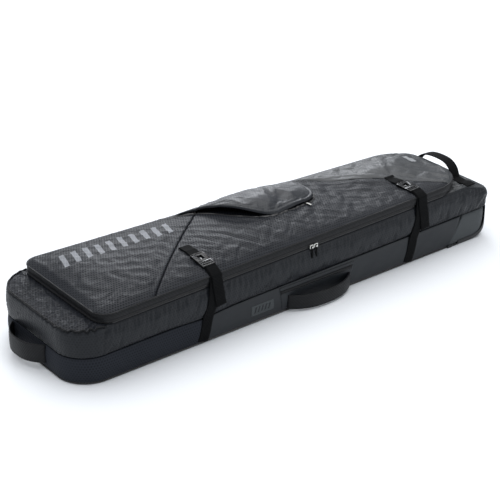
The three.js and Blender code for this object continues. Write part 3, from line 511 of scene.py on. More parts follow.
# %% [markdown]
# The walls. The lower strip rests on the floor, so it starts as a flat margin under the bag, turns up round
# a small radius and ends folded into the seam. The seam dips a little where the front strap pulls it down.
# A section is a rule that turns the share v of the strip's height into a distance out and a height.
# %% Cross-sections of the walls
SEAM_FOLD = 0.0045  # how far an edge is turned in at a seam
EDGE_TUCK = {"depth": 0.003, "width": 0.004}  # the upright seams between two panels
WALL_CLOTH, LID_CLOTH, DECK_CLOTH = 0.006, 0.005, 0.004  # padded thickness of the panels


def steps(v, *knots):
    """Piecewise line through (share, value) knots."""
    return np.interp(v, [k[0] for k in knots], [k[1] for k in knots])


def seam_line(s, x):
    """Height of the seam between the strips at distance s along the near side."""
    return seam_z(x) - 0.007 * np.exp(-((np.mod(s + 0.39 + 2, bag_line["length"]) - 2) / 0.08) ** 2)


def lower_profile(v, top, bulge):
    """Distance out from the outline and height, from the floor to the seam."""
    turn = np.clip((v - 0.15) / 0.2, 0, 1) * math.pi / 2
    t = np.clip((v - 0.35) / 0.55, 0, 1)
    fold = np.clip((v - 0.9) / 0.1, 0, 1)
    out = -0.012 + 0.012 * np.sin(turn) - 0.02 * np.clip(1 - v / 0.15, 0, 1)
    out = out + bulge * np.sin(math.pi * t) - SEAM_FOLD * fold ** 2
    z = 0.0006 + 0.012 * (1 - np.cos(turn)) + (top - 0.016) * t + 0.0028 * fold
    return out, z


def upper_profile(v, bottom, top, bulge):
    low = np.clip(1 - v / 0.06, 0, 1)
    high = np.clip((v - 0.9) / 0.1, 0, 1)
    out = bulge * np.sin(math.pi * np.clip(v, 0, 1)) - SEAM_FOLD * low ** 2 - SEAM_FOLD * high ** 2
    return out, bottom - 0.0006 + (top - bottom) * np.clip(v, 0, 1)


def on_wall(s, out, z):
    x, y, nx, ny = follow(bag_line, s)
    return np.stack([x + nx * out, y + ny * out, z], 1)


# %% [markdown]
# The lower strip is cut into panels: dotted ripstop round the foot end as far as the front straps, then
# smooth tarpaulin along both sides. Each is one grid that follows the outline.
# %% Lower walls
FRONT_PANEL_END = -0.385
TAIL_SEAM = (0.638, 0.709)  # where the tail panels begin, at the floor and at the seam


def lower_panel(name, s_low, s_high, surface, bulge, replaced):
    """A lower wall panel between two seams, each given as (place at the floor, place at the seam)."""
    span = abs(s_high[0] - s_low[0])

    def place(u, v):
        s = (s_low[0] + (s_low[1] - s_low[0]) * v) * (1 - u) + (s_high[0] + (s_high[1] - s_high[0]) * v) * u
        x = follow(bag_line, s)[0]
        out, z = lower_profile(v, seam_line(s, x), bulge)
        high = np.sin(math.pi * np.clip((v - 0.3) / 0.7, 0, 1))
        ripple = creases(s, z * 2, 0.16, 75, 25, 3) * 0.0012 * high
        edge = np.minimum(u, 1 - u) * span
        tuck = EDGE_TUCK["depth"] * np.clip(1 - edge / EDGE_TUCK["width"], 0, 1) ** 2
        return on_wall(s, out + ripple - tuck, z), np.stack([s, z + out], 1)

    made = cloth(name, int(span / 0.008), 26, place)
    finish(made, surface, "base", WALL_CLOTH, replaced)
    return made


L = bag_line["length"]
far_front, far_tail = far_s(bag_line, FRONT_PANEL_END), tuple(far_s(bag_line, x) for x in TAIL_SEAM)
near_front, near_tail = near_s(FRONT_PANEL_END), tuple(near_s(x) for x in TAIL_SEAM)
foot_wrap = lower_panel("foot_lower_panel", (far_front, far_front), (L + near_front, L + near_front),
                        foot_ripstop_painted_light, 0.003, ["foot_lower_wall"])
near_side_panel = lower_panel("near_lower_panel", (near_front, near_front), near_tail, tarpaulin, 0.003,
                              ["near_lower_wall"])
far_side_panel = lower_panel("far_lower_panel", far_tail, (far_front, far_front), tarpaulin, 0.003,
                             ["far_lower_wall"])
print("lower walls:", [len(o.data.polygons) for o in (foot_wrap, near_side_panel, far_side_panel)], "faces")

# %% [markdown]
# The tail panels and the end wall are one strip of rubberised cloth. Its lower edge runs up inside the
# moulded guard, so the bottom of the grid follows the curve of the guard instead of the floor.
# %% Tail panel round the wheel end
GUARD = {"radius": 0.085, "lift": 0.002, "thick": 0.005}
guard_x, guard_z = wheel_end - GUARD["radius"], GUARD["radius"] + GUARD["lift"]


def guard_inside(x):
    """Height of the guard's inner face at x."""
    r = GUARD["radius"] - GUARD["thick"] - 0.001
    d = np.clip(x - guard_x, 0, r)
    return guard_z - np.sqrt(r * r - d * d)


def place_tail(u, v):
    s0, s1 = near_tail, far_tail
    s = (s0[0] + (s0[1] - s0[0]) * v) * (1 - u) + (s1[0] + (s1[1] - s1[0]) * v) * u
    x = follow(bag_line, s)[0]
    inside = smooth((x - 0.785) / 0.04)
    low = np.where(x < guard_x - 0.07, 0.004, 0.0) + np.where(x < guard_x - 0.07, 0, guard_inside(x))
    top = seam_line(s, x)
    z = low + (top - low) * v
    foot = np.clip(1 - (z - 0.001) / 0.012, 0, 1)
    out = 0.003 * np.sin(math.pi * v) - SEAM_FOLD * np.clip((v - 0.9) / 0.1, 0, 1) ** 2
    out = out - 0.010 * foot ** 2 - 0.0068 * inside
    edge = np.minimum(u, 1 - u) * (s1[0] - s0[0])
    tuck = EDGE_TUCK["depth"] * np.clip(1 - edge / EDGE_TUCK["width"], 0, 1) ** 2
    return on_wall(s, out - tuck, z), np.stack([s, z], 1)


tail_wrap = cloth("tail_panel", 130, 22, place_tail)
finish(tail_wrap, rubberised, "base", 0.005, ["near_tail_panel", "far_tail_panel", "wheel_end_lower_wall"])
print("tail panel:", len(tail_wrap.data.polygons), "faces")

# %% [markdown]
# The upper strip runs right round the bag as a closed ring, and the two decks are sewn to it at the ends.
# The far side has no slack, because the opened lid lies against it. A deck is ruled between the bag's
# outline and the lid's outline, and dives under the lid's edge. All three are soft, so their wrinkles come
# from the cloth solver a few steps later.
# %% Upper wall and decks as flat patterns
def place_upper(u, v):
    s = (u + 0.5) * L
    x, _, _, ny = follow(bag_line, s)
    bulge = 0.0035 * (1 - smooth((ny - 0.5) / 0.4))
    out, z = upper_profile(v, seam_line(s, x), wall_top(x) + rim_wave(s, x), bulge)
    ruche = creases(s, z * 0.5, 0.030, 80, 18, 11, pinch=0.85)
    ruche = ruche * (0.3 + 0.7 * v) * np.sin(math.pi * v) ** 0.5
    slack = (0.2 + 0.8 * smooth(-ny)) * smooth(np.minimum(u, 1 - u) / 0.01)
    return on_wall(s, out + 0.0022 * ruche * slack, z), np.stack([s, z], 1)


def deck_rule(line_s, tuck_in, fold):
    """A deck between outlines; line_s gives (start, end) along the bag and along the lid."""
    def place(u, v):
        (b0, b1), (l0, l1) = line_s
        bx, by, bnx, bny = follow(bag_line, b0 + (b1 - b0) * u)
        lx, ly, lnx, lny = follow(lid_line, l0 + (l1 - l0) * u)
        rim = wall_top(bx) + rim_wave(b0 + (b1 - b0) * u, bx) + 0.0004
        outer = np.stack([bx - bnx * 0.004, by - bny * 0.004, rim], 1)
        inner = np.stack([lx - lnx * tuck_in, ly - lny * tuck_in, zip_z(lx) - HALF_OPENING - 0.0005], 1)
        at = outer * (1 - v)[:, None] + inner * v[:, None]
        room = np.linalg.norm(inner - outer, axis=1)
        at[:, 2] += 0.05 * room * np.sin(math.pi * v)
        at[:, 2] += fold(at[:, 0], at[:, 1]) * np.minimum(1, room / 0.05) * np.sin(math.pi * v)
        return at, at[:, :2].copy()
    return place


LL = lid_line["length"]
HINGE_X = (lid_foot + LID_CORNERS[0], lid_wheel - LID_CORNERS[1])  # between the lid's round corners
foot_from = (far_s(bag_line, HINGE_X[0]), L + near_s(HINGE_X[0]))
foot_lid = (far_s(lid_line, HINGE_X[0]), LL + near_s(HINGE_X[0]))
wheel_from = (near_s(HINGE_X[1]), far_s(bag_line, HINGE_X[1]))
wheel_lid = (near_s(HINGE_X[1]), far_s(lid_line, HINGE_X[1]))
upper_wall = cloth("upper_wall", 800, 20, place_upper, joined=True)
foot_deck = cloth("foot_deck_panel", 150, 22, deck_rule(
    (foot_from, foot_lid), 0.012, lambda x, y: 0.0042 * creases(x, y, 0.05, 62, 34, 5)))
wheel_deck = cloth("wheel_deck_panel", 150, 30, deck_rule(
    (wheel_from, wheel_lid), 0.012, lambda x, y: 0.0045 * creases(x, y, 0.04, 50, 80, 8)))
print("upper wall and decks:", [len(o.data.vertices) for o in (upper_wall, foot_deck, wheel_deck)], "points")

# %% [markdown]
# The lid is one dome of cloth until it has been crumpled, and is then cut along its two slanted seams. Its
# grid has columns across the bag, set closer together round the corners, and each column is as wide as
# the lid is there. Near its edge the skin turns down to the side band like a cushion.
# %% Lid as a flat pattern
SHOULDER = 0.030


def lid_half(x):
    """Half width of the lid's outline, round corners included."""
    (r0, r1) = LID_CORNERS
    c0, c1 = lid_foot + r0, lid_wheel - r1
    centre = np.clip(x, c0, c1)
    r = np.where(x < c0, r0, r1)
    d = np.abs(x - centre)
    round_end = half_width(centre) - r / math.cos(taper) + np.sqrt(np.maximum(r * r - d * d, 0))
    return np.where(d > 0, round_end, half_width(x))


def seam_distance(seam, x, y):
    """Signed plan distance from a slanted seam given by two plan points, positive towards the wheels."""
    (ax, ay), (bx, by) = seam
    n = math.hypot(bx - ax, by - ay)
    return ((x - ax) * (by - ay) - (y - ay) * (bx - ax)) / n


def across(near_x, far_x):
    return (near_x, -half_width(near_x)), (far_x, half_width(near_x))


front_seam = across(lid_foot + 0.188, lid_foot + 0.673)
rear_seam = across(lid_wheel - 0.067, lid_wheel - 0.460)


def lid_height(x, y):
    """Skin of the lid before it crumples."""
    edge = np.minimum(lid_half(x) - np.abs(y), np.minimum(x - lid_foot, lid_wheel - x))
    shoulder = 1 - (1 - np.clip(edge / SHOULDER, 0, 1)) ** 2.5
    z = zip_z(x) + HALF_OPENING + BAND + (dome(x, y) - HALF_OPENING - BAND + 0.001) * shoulder
    for seam in (front_seam, rear_seam):
        z = z - 0.0022 * np.exp(-(seam_distance(seam, x, y) / 0.005) ** 2)
    return z


foot_round = lid_foot + LID_CORNERS[0] * (1 - np.cos(np.linspace(0, math.pi / 2, 13)))
wheel_round = lid_wheel - LID_CORNERS[1] * (1 - np.cos(np.linspace(math.pi / 2, 0, 25)))
straight = np.linspace(foot_round[-1], wheel_round[0], 214)[1:-1]
lid_columns = np.concatenate([foot_round, straight, wheel_round])


def place_lid(u, v):
    x = np.interp(u, np.linspace(0, 1, len(lid_columns)), lid_columns)
    w = 2 * v - 1
    y = lid_half(x) * w * (1.2 - 0.2 * w * w)
    z = lid_height(x, y)
    room = np.clip((lid_half(x) - np.abs(y)) / 0.05, 0, 1)
    bent = y + 0.03 * np.sin(x * 8 + 1)
    z = z + 0.0026 * room * creases(x, bent, 0.085, -40, 14, 21, pinch=0.85) * smooth((x + 0.66) / 0.25)
    z = z + 0.0014 * room * creases(x, bent, 0.036, -52, 22, 22, pinch=0.8) * smooth((x + 0.5) / 0.2)
    rays = creases(x, y, 0.030, 62, 26, 23) * np.exp(-((y + half_width(x) - 0.045) / 0.045) ** 2)
    rays = rays * (0.15 + 0.85 * smooth((0.02 - x) / 0.2))
    return np.stack([x, y, z + 0.0026 * rays * room], 1), np.stack([x, y], 1)


lid_cloth = cloth("lid_cloth", len(lid_columns) - 1, 74, place_lid)
print("lid:", len(lid_cloth.data.vertices), "points")

# %% [markdown]
# The pocket lies on the lid: a raised panel with a rolled edge along its free side. Its free edge is one
# long sweep, a straight stretch and a short bend. The grid runs along that edge and across to the far side.
# %% Pocket as a flat pattern
POCKET = {"left": -0.245, "right": 0.236, "near": -0.048, "far": mid_half - 0.026, "bulge": 0.036,
          "welt": 0.007}
WELT = ((0, 0.0), (0.002, 0.0055), (0.006, 0.0072), (0.010, 0.0055), (0.012, 0.0038), (0.016, 0.0065))


def bezier(a, b, c, d, n=24):
    t = np.linspace(0, 1, n)[:, None]
    a, b, c, d = (np.array(p) for p in (a, b, c, d))
    return (1 - t) ** 3 * a + 3 * t * (1 - t) ** 2 * b + 3 * t * t * (1 - t) * c + t ** 3 * d


def pocket_curve():
    """The free edge from the far side at the left to the far side at the right."""
    p, near = POCKET, POCKET["near"]
    sweep = bezier((p["left"], p["far"]), (p["left"] + 0.12, p["far"] - 0.03),
                   (p["left"] + 0.13, near + 0.006), (p["left"] + 0.265, near))
    bend = bezier((p["right"] - 0.09, near + 0.022), (p["right"] - 0.045, near + 0.032),
                  (p["right"] - 0.022, near + 0.06), (p["right"] - 0.008, near + 0.11))
    points = np.concatenate([sweep, bend, [(p["right"], p["far"])]])
    return points, np.concatenate([[0], np.cumsum(np.hypot(*np.diff(points, axis=0).T))])


pocket_points, pocket_run = pocket_curve()


def pocket_edge(u):
    run = u * pocket_run[-1]
    x, y = (np.interp(run, pocket_run, pocket_points[:, i]) for i in (0, 1))
    dx, dy = (np.interp(run + 1e-3, pocket_run, pocket_points[:, i]) -
              np.interp(run - 1e-3, pocket_run, pocket_points[:, i]) for i in (0, 1))
    n = np.maximum(np.hypot(dx, dy), 1e-9)
    return x, y, dy / n, -dx / n


def place_pocket(u, v):
    ex, ey, _, _ = pocket_edge(u)
    fx = POCKET["left"] + (POCKET["right"] - POCKET["left"]) * u
    inward = v ** 1.5
    x, y = ex + (fx - ex) * inward, ey + (POCKET["far"] - ey) * inward
    a = (2 * x - POCKET["left"] - POCKET["right"]) / (POCKET["right"] - POCKET["left"])
    b = (2 * y - POCKET["near"] - POCKET["far"]) / (POCKET["far"] - POCKET["near"])
    swell = np.maximum(0, 1 - np.abs(a) ** 2.4) * np.maximum(0, 1 - np.abs(b) ** 2.4)
    from_edge = inward * np.hypot(fx - ex, POCKET["far"] - ey)
    to_far = (1 - inward) * np.hypot(fx - ex, POCKET["far"] - ey)
    roll = steps(from_edge, *WELT)
    end = smooth(to_far / 0.012)
    z = lid_height(x, y) + 0.0006 + roll * end + (POCKET["bulge"] - POCKET["welt"]) * swell
    bent = y + 0.02 * np.sin(x * 14)
    z = z + 0.0034 * creases(x, bent, 0.06, -35, 30, 31) * swell
    return np.stack([x, y, z], 1), np.stack([x, y], 1)


pocket_cloth = cloth("pocket_panel", 110, 46, place_pocket, joined=True)
print("pocket:", len(pocket_cloth.data.vertices), "points")

# %% [markdown]
# All the soft panels are crumpled in one run of the solver. Pinned shares are 1 along seams and nearly 1 on
# the far side and at the foot end, where the cloth is taut, and fall inside the panels. The upper wall
# grows most, which gathers it into short upright folds under the zip.
# %% Run the cloth solver
def fade(distance, width):
    return 1 - smooth(distance / width)


def wall_pins(points, bottom_free=0.012):
    x, y, z = points.T
    room = np.minimum(z - seam_z(x) + 0.004, wall_top(x) - z)
    ends = smooth((foot_end + 0.12 - x) / 0.06) * 0.85
    far = smooth(y / 0.1) * 0.9
    return np.maximum.reduce([fade(room - 0.004, bottom_free), ends, far])


def lid_pins(points):
    x, y = points[:, 0], points[:, 1]
    edge = np.minimum(lid_half(x) - np.abs(y), np.minimum(x - lid_foot, lid_wheel - x))
    seams = np.minimum(np.abs(seam_distance(front_seam, x, y)), np.abs(seam_distance(rear_seam, x, y)))
    pocket = (x > POCKET["left"]) & (x < POCKET["right"]) & (y > POCKET["near"] + 0.03)
    return np.maximum.reduce([fade(edge - 0.006, 0.014), fade(seams - 0.003, 0.012) * 0.9, pocket * 0.8,
                              0.08 * np.ones_like(x)])


def deck_pins(obj, wide):
    edges = np.zeros(len(obj.data.vertices), bool)
    bm = bmesh.new()
    bm.from_mesh(obj.data)
    for v in bm.verts:
        edges[v.index] = v.is_boundary
    bm.free()
    points = points_of(obj)
    rim = points[edges]
    near = np.array([np.min(np.linalg.norm(rim - p, axis=1)) for p in points])
    return fade(near - 0.002, wide)


crumple([
    (upper_wall, wall_pins(points_of(upper_wall)), 0.055, 0.6, 0.006, 0.05),
    (lid_cloth, lid_pins(points_of(lid_cloth)), 0.016, 0.5, 0.007, 0.4),
    (foot_deck, deck_pins(foot_deck, 0.02), 0.03, 0.3, 0.006, 0.1),
    (wheel_deck, deck_pins(wheel_deck, 0.02), 0.05, 0.3, 0.007, 0.05),
    (pocket_cloth, deck_pins(pocket_cloth, 0.03), 0.02, 0.5, 0.006, 0.3),
])
finish(upper_wall, wall_ripstop, "base", WALL_CLOTH,
       ["near_upper_wall", "far_upper_wall", "foot_upper_wall", "wheel_end_upper_wall"])
finish(foot_deck, shell_ripstop, "base", DECK_CLOTH, ["foot_deck"])
finish(wheel_deck, tail_ripstop_and_painted_sheen, "base", DECK_CLOTH, ["wheel_deck"])
finish(pocket_cloth, pocket_ripstop_painted_light, "lid", DECK_CLOTH, ["lid_pocket"])

# %% [markdown]
# Now the lid can be cut. A copy is bisected by a standing plane through a seam and keeps one side, and the
# cut edge is pushed down a little, as a seam allowance would be. The inner face of each panel gets the
# plain lining.
# %% Cut the lid into three panels
def cut_lid(name, cuts, surface, node):
    """cuts: (seam, keep) where keep is 1 for the wheel side and -1 for the foot side."""
    bm = bmesh.new()
    bm.from_mesh(lid_cloth.data)
    for seam, keep in cuts:
        (ax, ay), (bx, by) = seam
        normal = Vector((by - ay, ax - bx, 0)).normalized() * keep
        place = Vector((ax, ay, 0)) + normal * 0.0004
        bmesh.ops.bisect_plane(bm, geom=bm.verts[:] + bm.edges[:] + bm.faces[:], dist=1e-6, plane_co=place,
                               plane_no=normal, clear_inner=True)
        for v in bm.verts:
            if abs((v.co - place).dot(normal)) < 1e-5:
                v.co.z -= 0.0015
    mesh = bpy.data.meshes.new(name)
    bm.to_mesh(mesh)
    bm.free()
    made = bpy.data.objects.new(name, mesh)
    bpy.context.scene.collection.objects.link(made)
    finish(made, surface, "lid", LID_CLOTH, [node])
    made.data.materials.append(wall_ripstop)
    made.modifiers["thickness"].material_offset = 1
    return made


lid_front = cut_lid("lid_front", [(front_seam, -1)], shell_ripstop, "lid_front_panel")
lid_centre = cut_lid("lid_centre", [(front_seam, 1), (rear_seam, -1)], shell_ripstop, "lid_centre_panel")
lid_rear = cut_lid("lid_rear", [(rear_seam, 1)], tail_ripstop_and_painted_sheen, "lid_rear_panel")
bpy.data.objects.remove(lid_cloth)
print("lid panels:", [len(o.data.polygons) for o in (lid_front, lid_centre, lid_rear)], "faces")

# %% [markdown]
# The lid's side band is a strip of folded binding, sewn flat along two lines, with a corded upper edge. It
# follows the lid's outline, and its section is a short list of (share of the height, distance out).
# %% Side band of the lid
def on_lid_edge(s, out, z):
    x, y, nx, ny = follow(lid_line, s)
    return np.stack([x + nx * out, y + ny * out, zip_z(x) + z], 1)


BAND_SECTION = ((0, -0.003), (0.03, 0.0004), (0.09, 0.0016), (0.16, 0.0002), (0.5, 0.0012), (0.78, 0.0002),
                (0.82, -0.0008), (0.86, 0.0012), (0.93, 0.0028), (0.98, 0.0012), (1, -0.003))


def place_band(u, v):
    s = (u + 0.5) * LL
    out = steps(v, *BAND_SECTION)
    ruche = creases(s, v * 0.012, 0.04, 80, 14, 41) * 0.0006 * np.sin(math.pi * v)
    ruche = ruche * smooth(np.minimum(u, 1 - u) / 0.01)
    height = HALF_OPENING + 0.0002 + (BAND + 0.0012) * v
    return on_lid_edge(s, out + ruche, height), np.stack([BAND * v, s], 1)


lid_band = cloth("lid_band_strip", 640, 22, place_band, joined=True)
finish(lid_band, edge_tape, "lid", 0.003, ["lid_band"])
print("band:", len(lid_band.data.polygons), "faces")

# %% [markdown]
# Under the band the zip lies on its tape: two rows of nylon coil, 5 mm from tooth to tooth here so that
# they show. The teeth could be thousands of little objects; a ripple in a fine grid gives the same edge for
# far less. Along the far side a strip of cloth joins the wall to the lid.
# %% Zip and the cloth hinge
TOOTH = 0.005
zip_from, zip_to = far_s(lid_line, HINGE_X[0]), LL + far_s(lid_line, HINGE_X[1])


def place_zip(upper):
    def place(u, v):
        s = zip_from + (zip_to - zip_from) * u
        tooth = 0.5 + 0.5 * np.cos(2 * math.pi * s / TOOTH)
        coil = np.exp(-((v - 0.86) / 0.1) ** 2)
        out = -0.003 + 0.0022 * coil + 0.0008 * coil * tooth
        height = 0.0002 + (HALF_OPENING + 0.001) * (1 - v)
        return on_lid_edge(s, out, height if upper else -height), np.stack([s, v * 0.004], 1)
    return place


zip_halves = []
for side, body, node in (("upper", "lid", "zip_upper_half"), ("lower", "base", "zip_lower_half")):
    half = cloth("zip_" + side, 2800, 7, place_zip(side == "upper"))
    zip_halves.append(finish(half, nylon_coil, body, 0.0015, [node]))


def place_hinge(u, v):
    x = HINGE_X[0] + (HINGE_X[1] - HINGE_X[0]) * u
    z = (2 * v - 1) * (HALF_OPENING + 0.003)
    return on_lid_edge(far_s(lid_line, x), -0.0035 + 0 * z, z), np.stack([x, z], 1)


def applied(obj):
    """Make the modifiers part of the mesh."""
    bpy.context.view_layer.update()
    mesh = bpy.data.meshes.new_from_object(obj.evaluated_get(bpy.context.evaluated_depsgraph_get()))
    obj.modifiers.clear()
    obj.data = mesh
    return obj


hinge_strip = cloth("hinge_strip", 160, 8, place_hinge)
finish(hinge_strip, wall_ripstop, None, 0.0015)
applied(hinge_strip)
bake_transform(hinge_strip)
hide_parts("hinge_fabric_lower", "hinge_fabric_upper")
print("zip:", [len(o.data.polygons) for o in zip_halves], "faces, hinge", len(hinge_strip.data.polygons))

# %% [markdown]
# Piping is a cord in a folded strip, sewn into a seam. A tube is again a grid: one way along the path, the
# other way round the section, joined where it meets itself. One runs round the foot deck, one round the
# floor.
# %% Piping and the base panel
def tube(name, columns, path, radius, surface, body, replaced=(), rows=10):
    """path(u) gives points and two unit side directions."""
    def place(u, v):
        p, side, up = path(u)
        a = 2 * math.pi * v
        cap = np.where((u < 1e-6) | (u > 1 - 1e-6), 0.35, 1.0)[:, None]
        around = side * np.cos(a)[:, None] + up * np.sin(a)[:, None]
        return p + around * radius * cap, np.stack([u, v * radius * 6], 1)

    made = cloth(name, columns, rows, place, joined=True)
    bm = bmesh.new()
    bm.from_mesh(made.data)
    bmesh.ops.holes_fill(bm, edges=[e for e in bm.edges if e.is_boundary])
    bmesh.ops.recalc_face_normals(bm, faces=bm.faces)
    bm.to_mesh(made.data)
    bm.free()
    return finish(made, surface, body, 0, replaced)


def along_bag(s0, s1, out, height):
    """A path beside the bag's outline, at a height given by a rule of x and s."""
    def path(u):
        s = s0 + (s1 - s0) * u
        x, y, nx, ny = follow(bag_line, s)
        up = np.stack([0 * x, 0 * x, 0 * x + 1], 1)
        return np.stack([x + nx * out, y + ny * out, height(x, s)], 1), np.stack([nx, ny, 0 * x], 1), up
    return path


tube("foot_deck_piping", 260, along_bag(
    far_s(bag_line, foot_end + 0.11), L + near_s(foot_end + 0.11), -0.0035,
    lambda x, s: wall_top(x) + rim_wave(s, x) + 0.0012), 0.0029, edge_tape, "base", ["foot_piping"])
tube("base_welt", 500, along_bag(
    far_s(bag_line, 0.66), L + near_s(0.66), -0.0035, lambda x, s: 0.0042 + 0 * x), 0.0036, gloss_edge,
    "base")


def base_panel():
    """A flat sheet cut to the outline, 5 mm thick, ending where the guard begins."""
    bm = bmesh.new()
    bmesh.ops.create_circle(bm, cap_ends=True, segments=180, radius=1)
    bm.verts.index_update()
    turn = np.array([math.atan2(v.co.y, v.co.x) for v in bm.verts]) / (2 * math.pi)
    x, y, nx, ny = follow(bag_line, turn * L)
    for v, px, py in zip(bm.verts, x - nx * 0.033, y - ny * 0.033):
        v.co = (px, py, 0.001)
    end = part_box("base_panel")[1][0]
    bmesh.ops.bisect_plane(bm, geom=bm.verts[:] + bm.edges[:] + bm.faces[:], dist=1e-6, plane_co=(end, 0, 0),
                           plane_no=(1, 0, 0), clear_outer=True)
    top = bmesh.ops.extrude_face_region(bm, geom=bm.faces[:])["geom"]
    bmesh.ops.translate(bm, vec=(0, 0, 0.004), verts=[g for g in top if isinstance(g, bmesh.types.BMVert)])
    bmesh.ops.recalc_face_normals(bm, faces=bm.faces)
    uv = bm.loops.layers.uv.new("cloth")
    for f in bm.faces:
        for loop in f.loops:
            loop[uv].uv = loop.vert.co.xy
    mesh = bpy.data.meshes.new("base_sheet")
    bm.to_mesh(mesh)
    bm.free()
    made = bpy.data.objects.new("base_sheet", mesh)
    bpy.context.scene.collection.objects.link(made)
    return finish(made, tarpaulin, "base", 0, ["base_panel"])


base_sheet = base_panel()
base_sheet.data.set_sharp_from_angle(angle=math.radians(40))
print("piping and base done")

# %% [markdown]
# Pieces that lie on the bag have to touch it wherever the cloth has gone. A tree of the finished skins is
# made once, and rays are shot at it: from outside against the near side, from above onto the lid. What they
# hit, plus a little, is where a strap or a patch lies.
# %% Rays against the finished skins
def skin_tree(pieces):
    """One tree of the finished meshes, modifiers included."""
    verts, faces = [], []
    bpy.context.view_layer.update()
    view = bpy.context.evaluated_depsgraph_get()
    for obj in pieces:
        mesh = obj.evaluated_get(view).data
        start = len(verts)
        verts.extend([v.co.copy() for v in mesh.vertices])
        faces.extend([[start + i for i in p.vertices] for p in mesh.polygons])
    return BVHTree.FromPolygons(verts, faces)


skins = skin_tree([foot_wrap, near_side_panel, far_side_panel, tail_wrap, upper_wall, foot_deck, wheel_deck,
                   lid_band, lid_front, lid_centre, lid_rear, *zip_halves])
side_dir = Vector((math.cos(taper), math.sin(taper), 0))
out_dir = Vector((math.sin(taper), -math.cos(taper), 0))
side_mid = Vector((0, -mid_half, 0))
UP = Vector((0, 0, 1))


def near_point(along, out, z):
    """A point in the near side's own frame: along the side, out from it, height."""
    return side_mid + side_dir * along + out_dir * out + Vector((0, 0, z))


def rest_on(target, direction, reach=0.12):
    """Where a ray that comes in along direction meets the skins, or the target if it meets nothing."""
    start = target - direction * reach
    hit = skins.ray_cast(start, direction, reach * 1.6)[0]
    return hit if hit is not None else target


def smoothed(points, normals, times):
    """Even out a path without letting it sink into what it lies on."""
    raw = np.array(points)
    path = raw.copy()
    for _ in range(times):
        path[1:-1] = (path[:-2] + 2 * path[1:-1] + path[2:]) / 4
        sunk = np.sum((raw - path) * normals, axis=1, keepdims=True)
        path += normals * np.maximum(sunk, 0)
    return path


found = rest_on(near_point(0, 0, 0.1), -out_dir)
print("skin at the middle of the near side:", [round(c, 4) for c in found])

# %% [markdown]
# The compression straps are 38 mm webbing. Each starts in the floor seam, leans towards the foot end,
# climbs the wall and bends over the lid's edge to its buckle; a loose tail hangs over it. The ribbon is a
# grid along a path of ray hits, turned so that its edges stay parallel to the path.
# %% Straps
STRAP = {"width": 0.038, "thick": 0.002, "lean": 0.050, "sewn": 0.007}


def sample(t, run, rows):
    """Rows of a path at distances t along it."""
    return np.stack([np.interp(t, run, rows[:, i]) for i in range(3)], 1)


def ribbon(name, points, normals, width, surface, body, replaced, live=True):
    """Webbing along points, with normals facing away from what it lies on."""
    p, n = np.array(points), np.array(normals)
    run = np.concatenate([[0], np.cumsum(np.linalg.norm(np.diff(p, axis=0), axis=1))])

    def place(u, v):
        t = u * run[-1]
        at, up = sample(t, run, p), sample(t, run, n)
        ahead = sample(t + 2e-3, run, p) - sample(t - 2e-3, run, p)
        side = np.cross(ahead, up)
        side /= np.linalg.norm(side, axis=1, keepdims=True)
        edge = np.clip((np.abs(v - 0.5) * 2 - 0.9) / 0.1, 0, 1)[:, None]
        at = at + side * ((v - 0.5) * width)[:, None] - up * 0.0005 * edge
        return at, np.stack([t, v * width], 1)

    made = cloth(name, max(8, int(run[-1] / 0.004)), 10, place)
    finish(made, surface, body, STRAP["thick"], replaced)
    return made if live else applied(made)


def climb(along, low, end_out, end_z, lift, times=8, lean=STRAP["lean"]):
    """Path from height low up the wall and over the lid's edge to the buckle's frame."""
    top = float(zip_z(along * math.cos(taper))) + HALF_OPENING
    rows = []
    for z in np.arange(low, top - 0.012, 0.008):
        rows.append((along - lean * max(0, 1 - z / top), 0.0, z, out_dir))
    for a in np.radians(np.linspace(172, 96, 10)):
        way = out_dir * -math.cos(a) + UP * math.sin(a)
        rows.append((along, -0.026 - 0.05 * math.cos(a), top + 0.012 + 0.05 * math.sin(a), way))
    points, normals = [], []
    for a, out, z, way in rows:
        hits = [rest_on(near_point(a + d, out, z), -way) for d in (-0.018, -0.009, 0, 0.009, 0.018)]
        best = max((h - near_point(a, out, z)).dot(way) for h in hits)
        points.append(near_point(a, out, z) + way * (best + lift))
        normals.append(way)
    points, normals = list(smoothed(points, np.array(normals), times)), normals
    for out, z in ((end_out + 0.004, end_z - 0.002), (end_out - 0.010, end_z)):
        points.append(np.array(near_point(along, out, z)))
        normals.append(UP)
    return points, normals


def node_middle(name):
    low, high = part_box(name)
    return (Vector(low) + Vector(high)) / 2


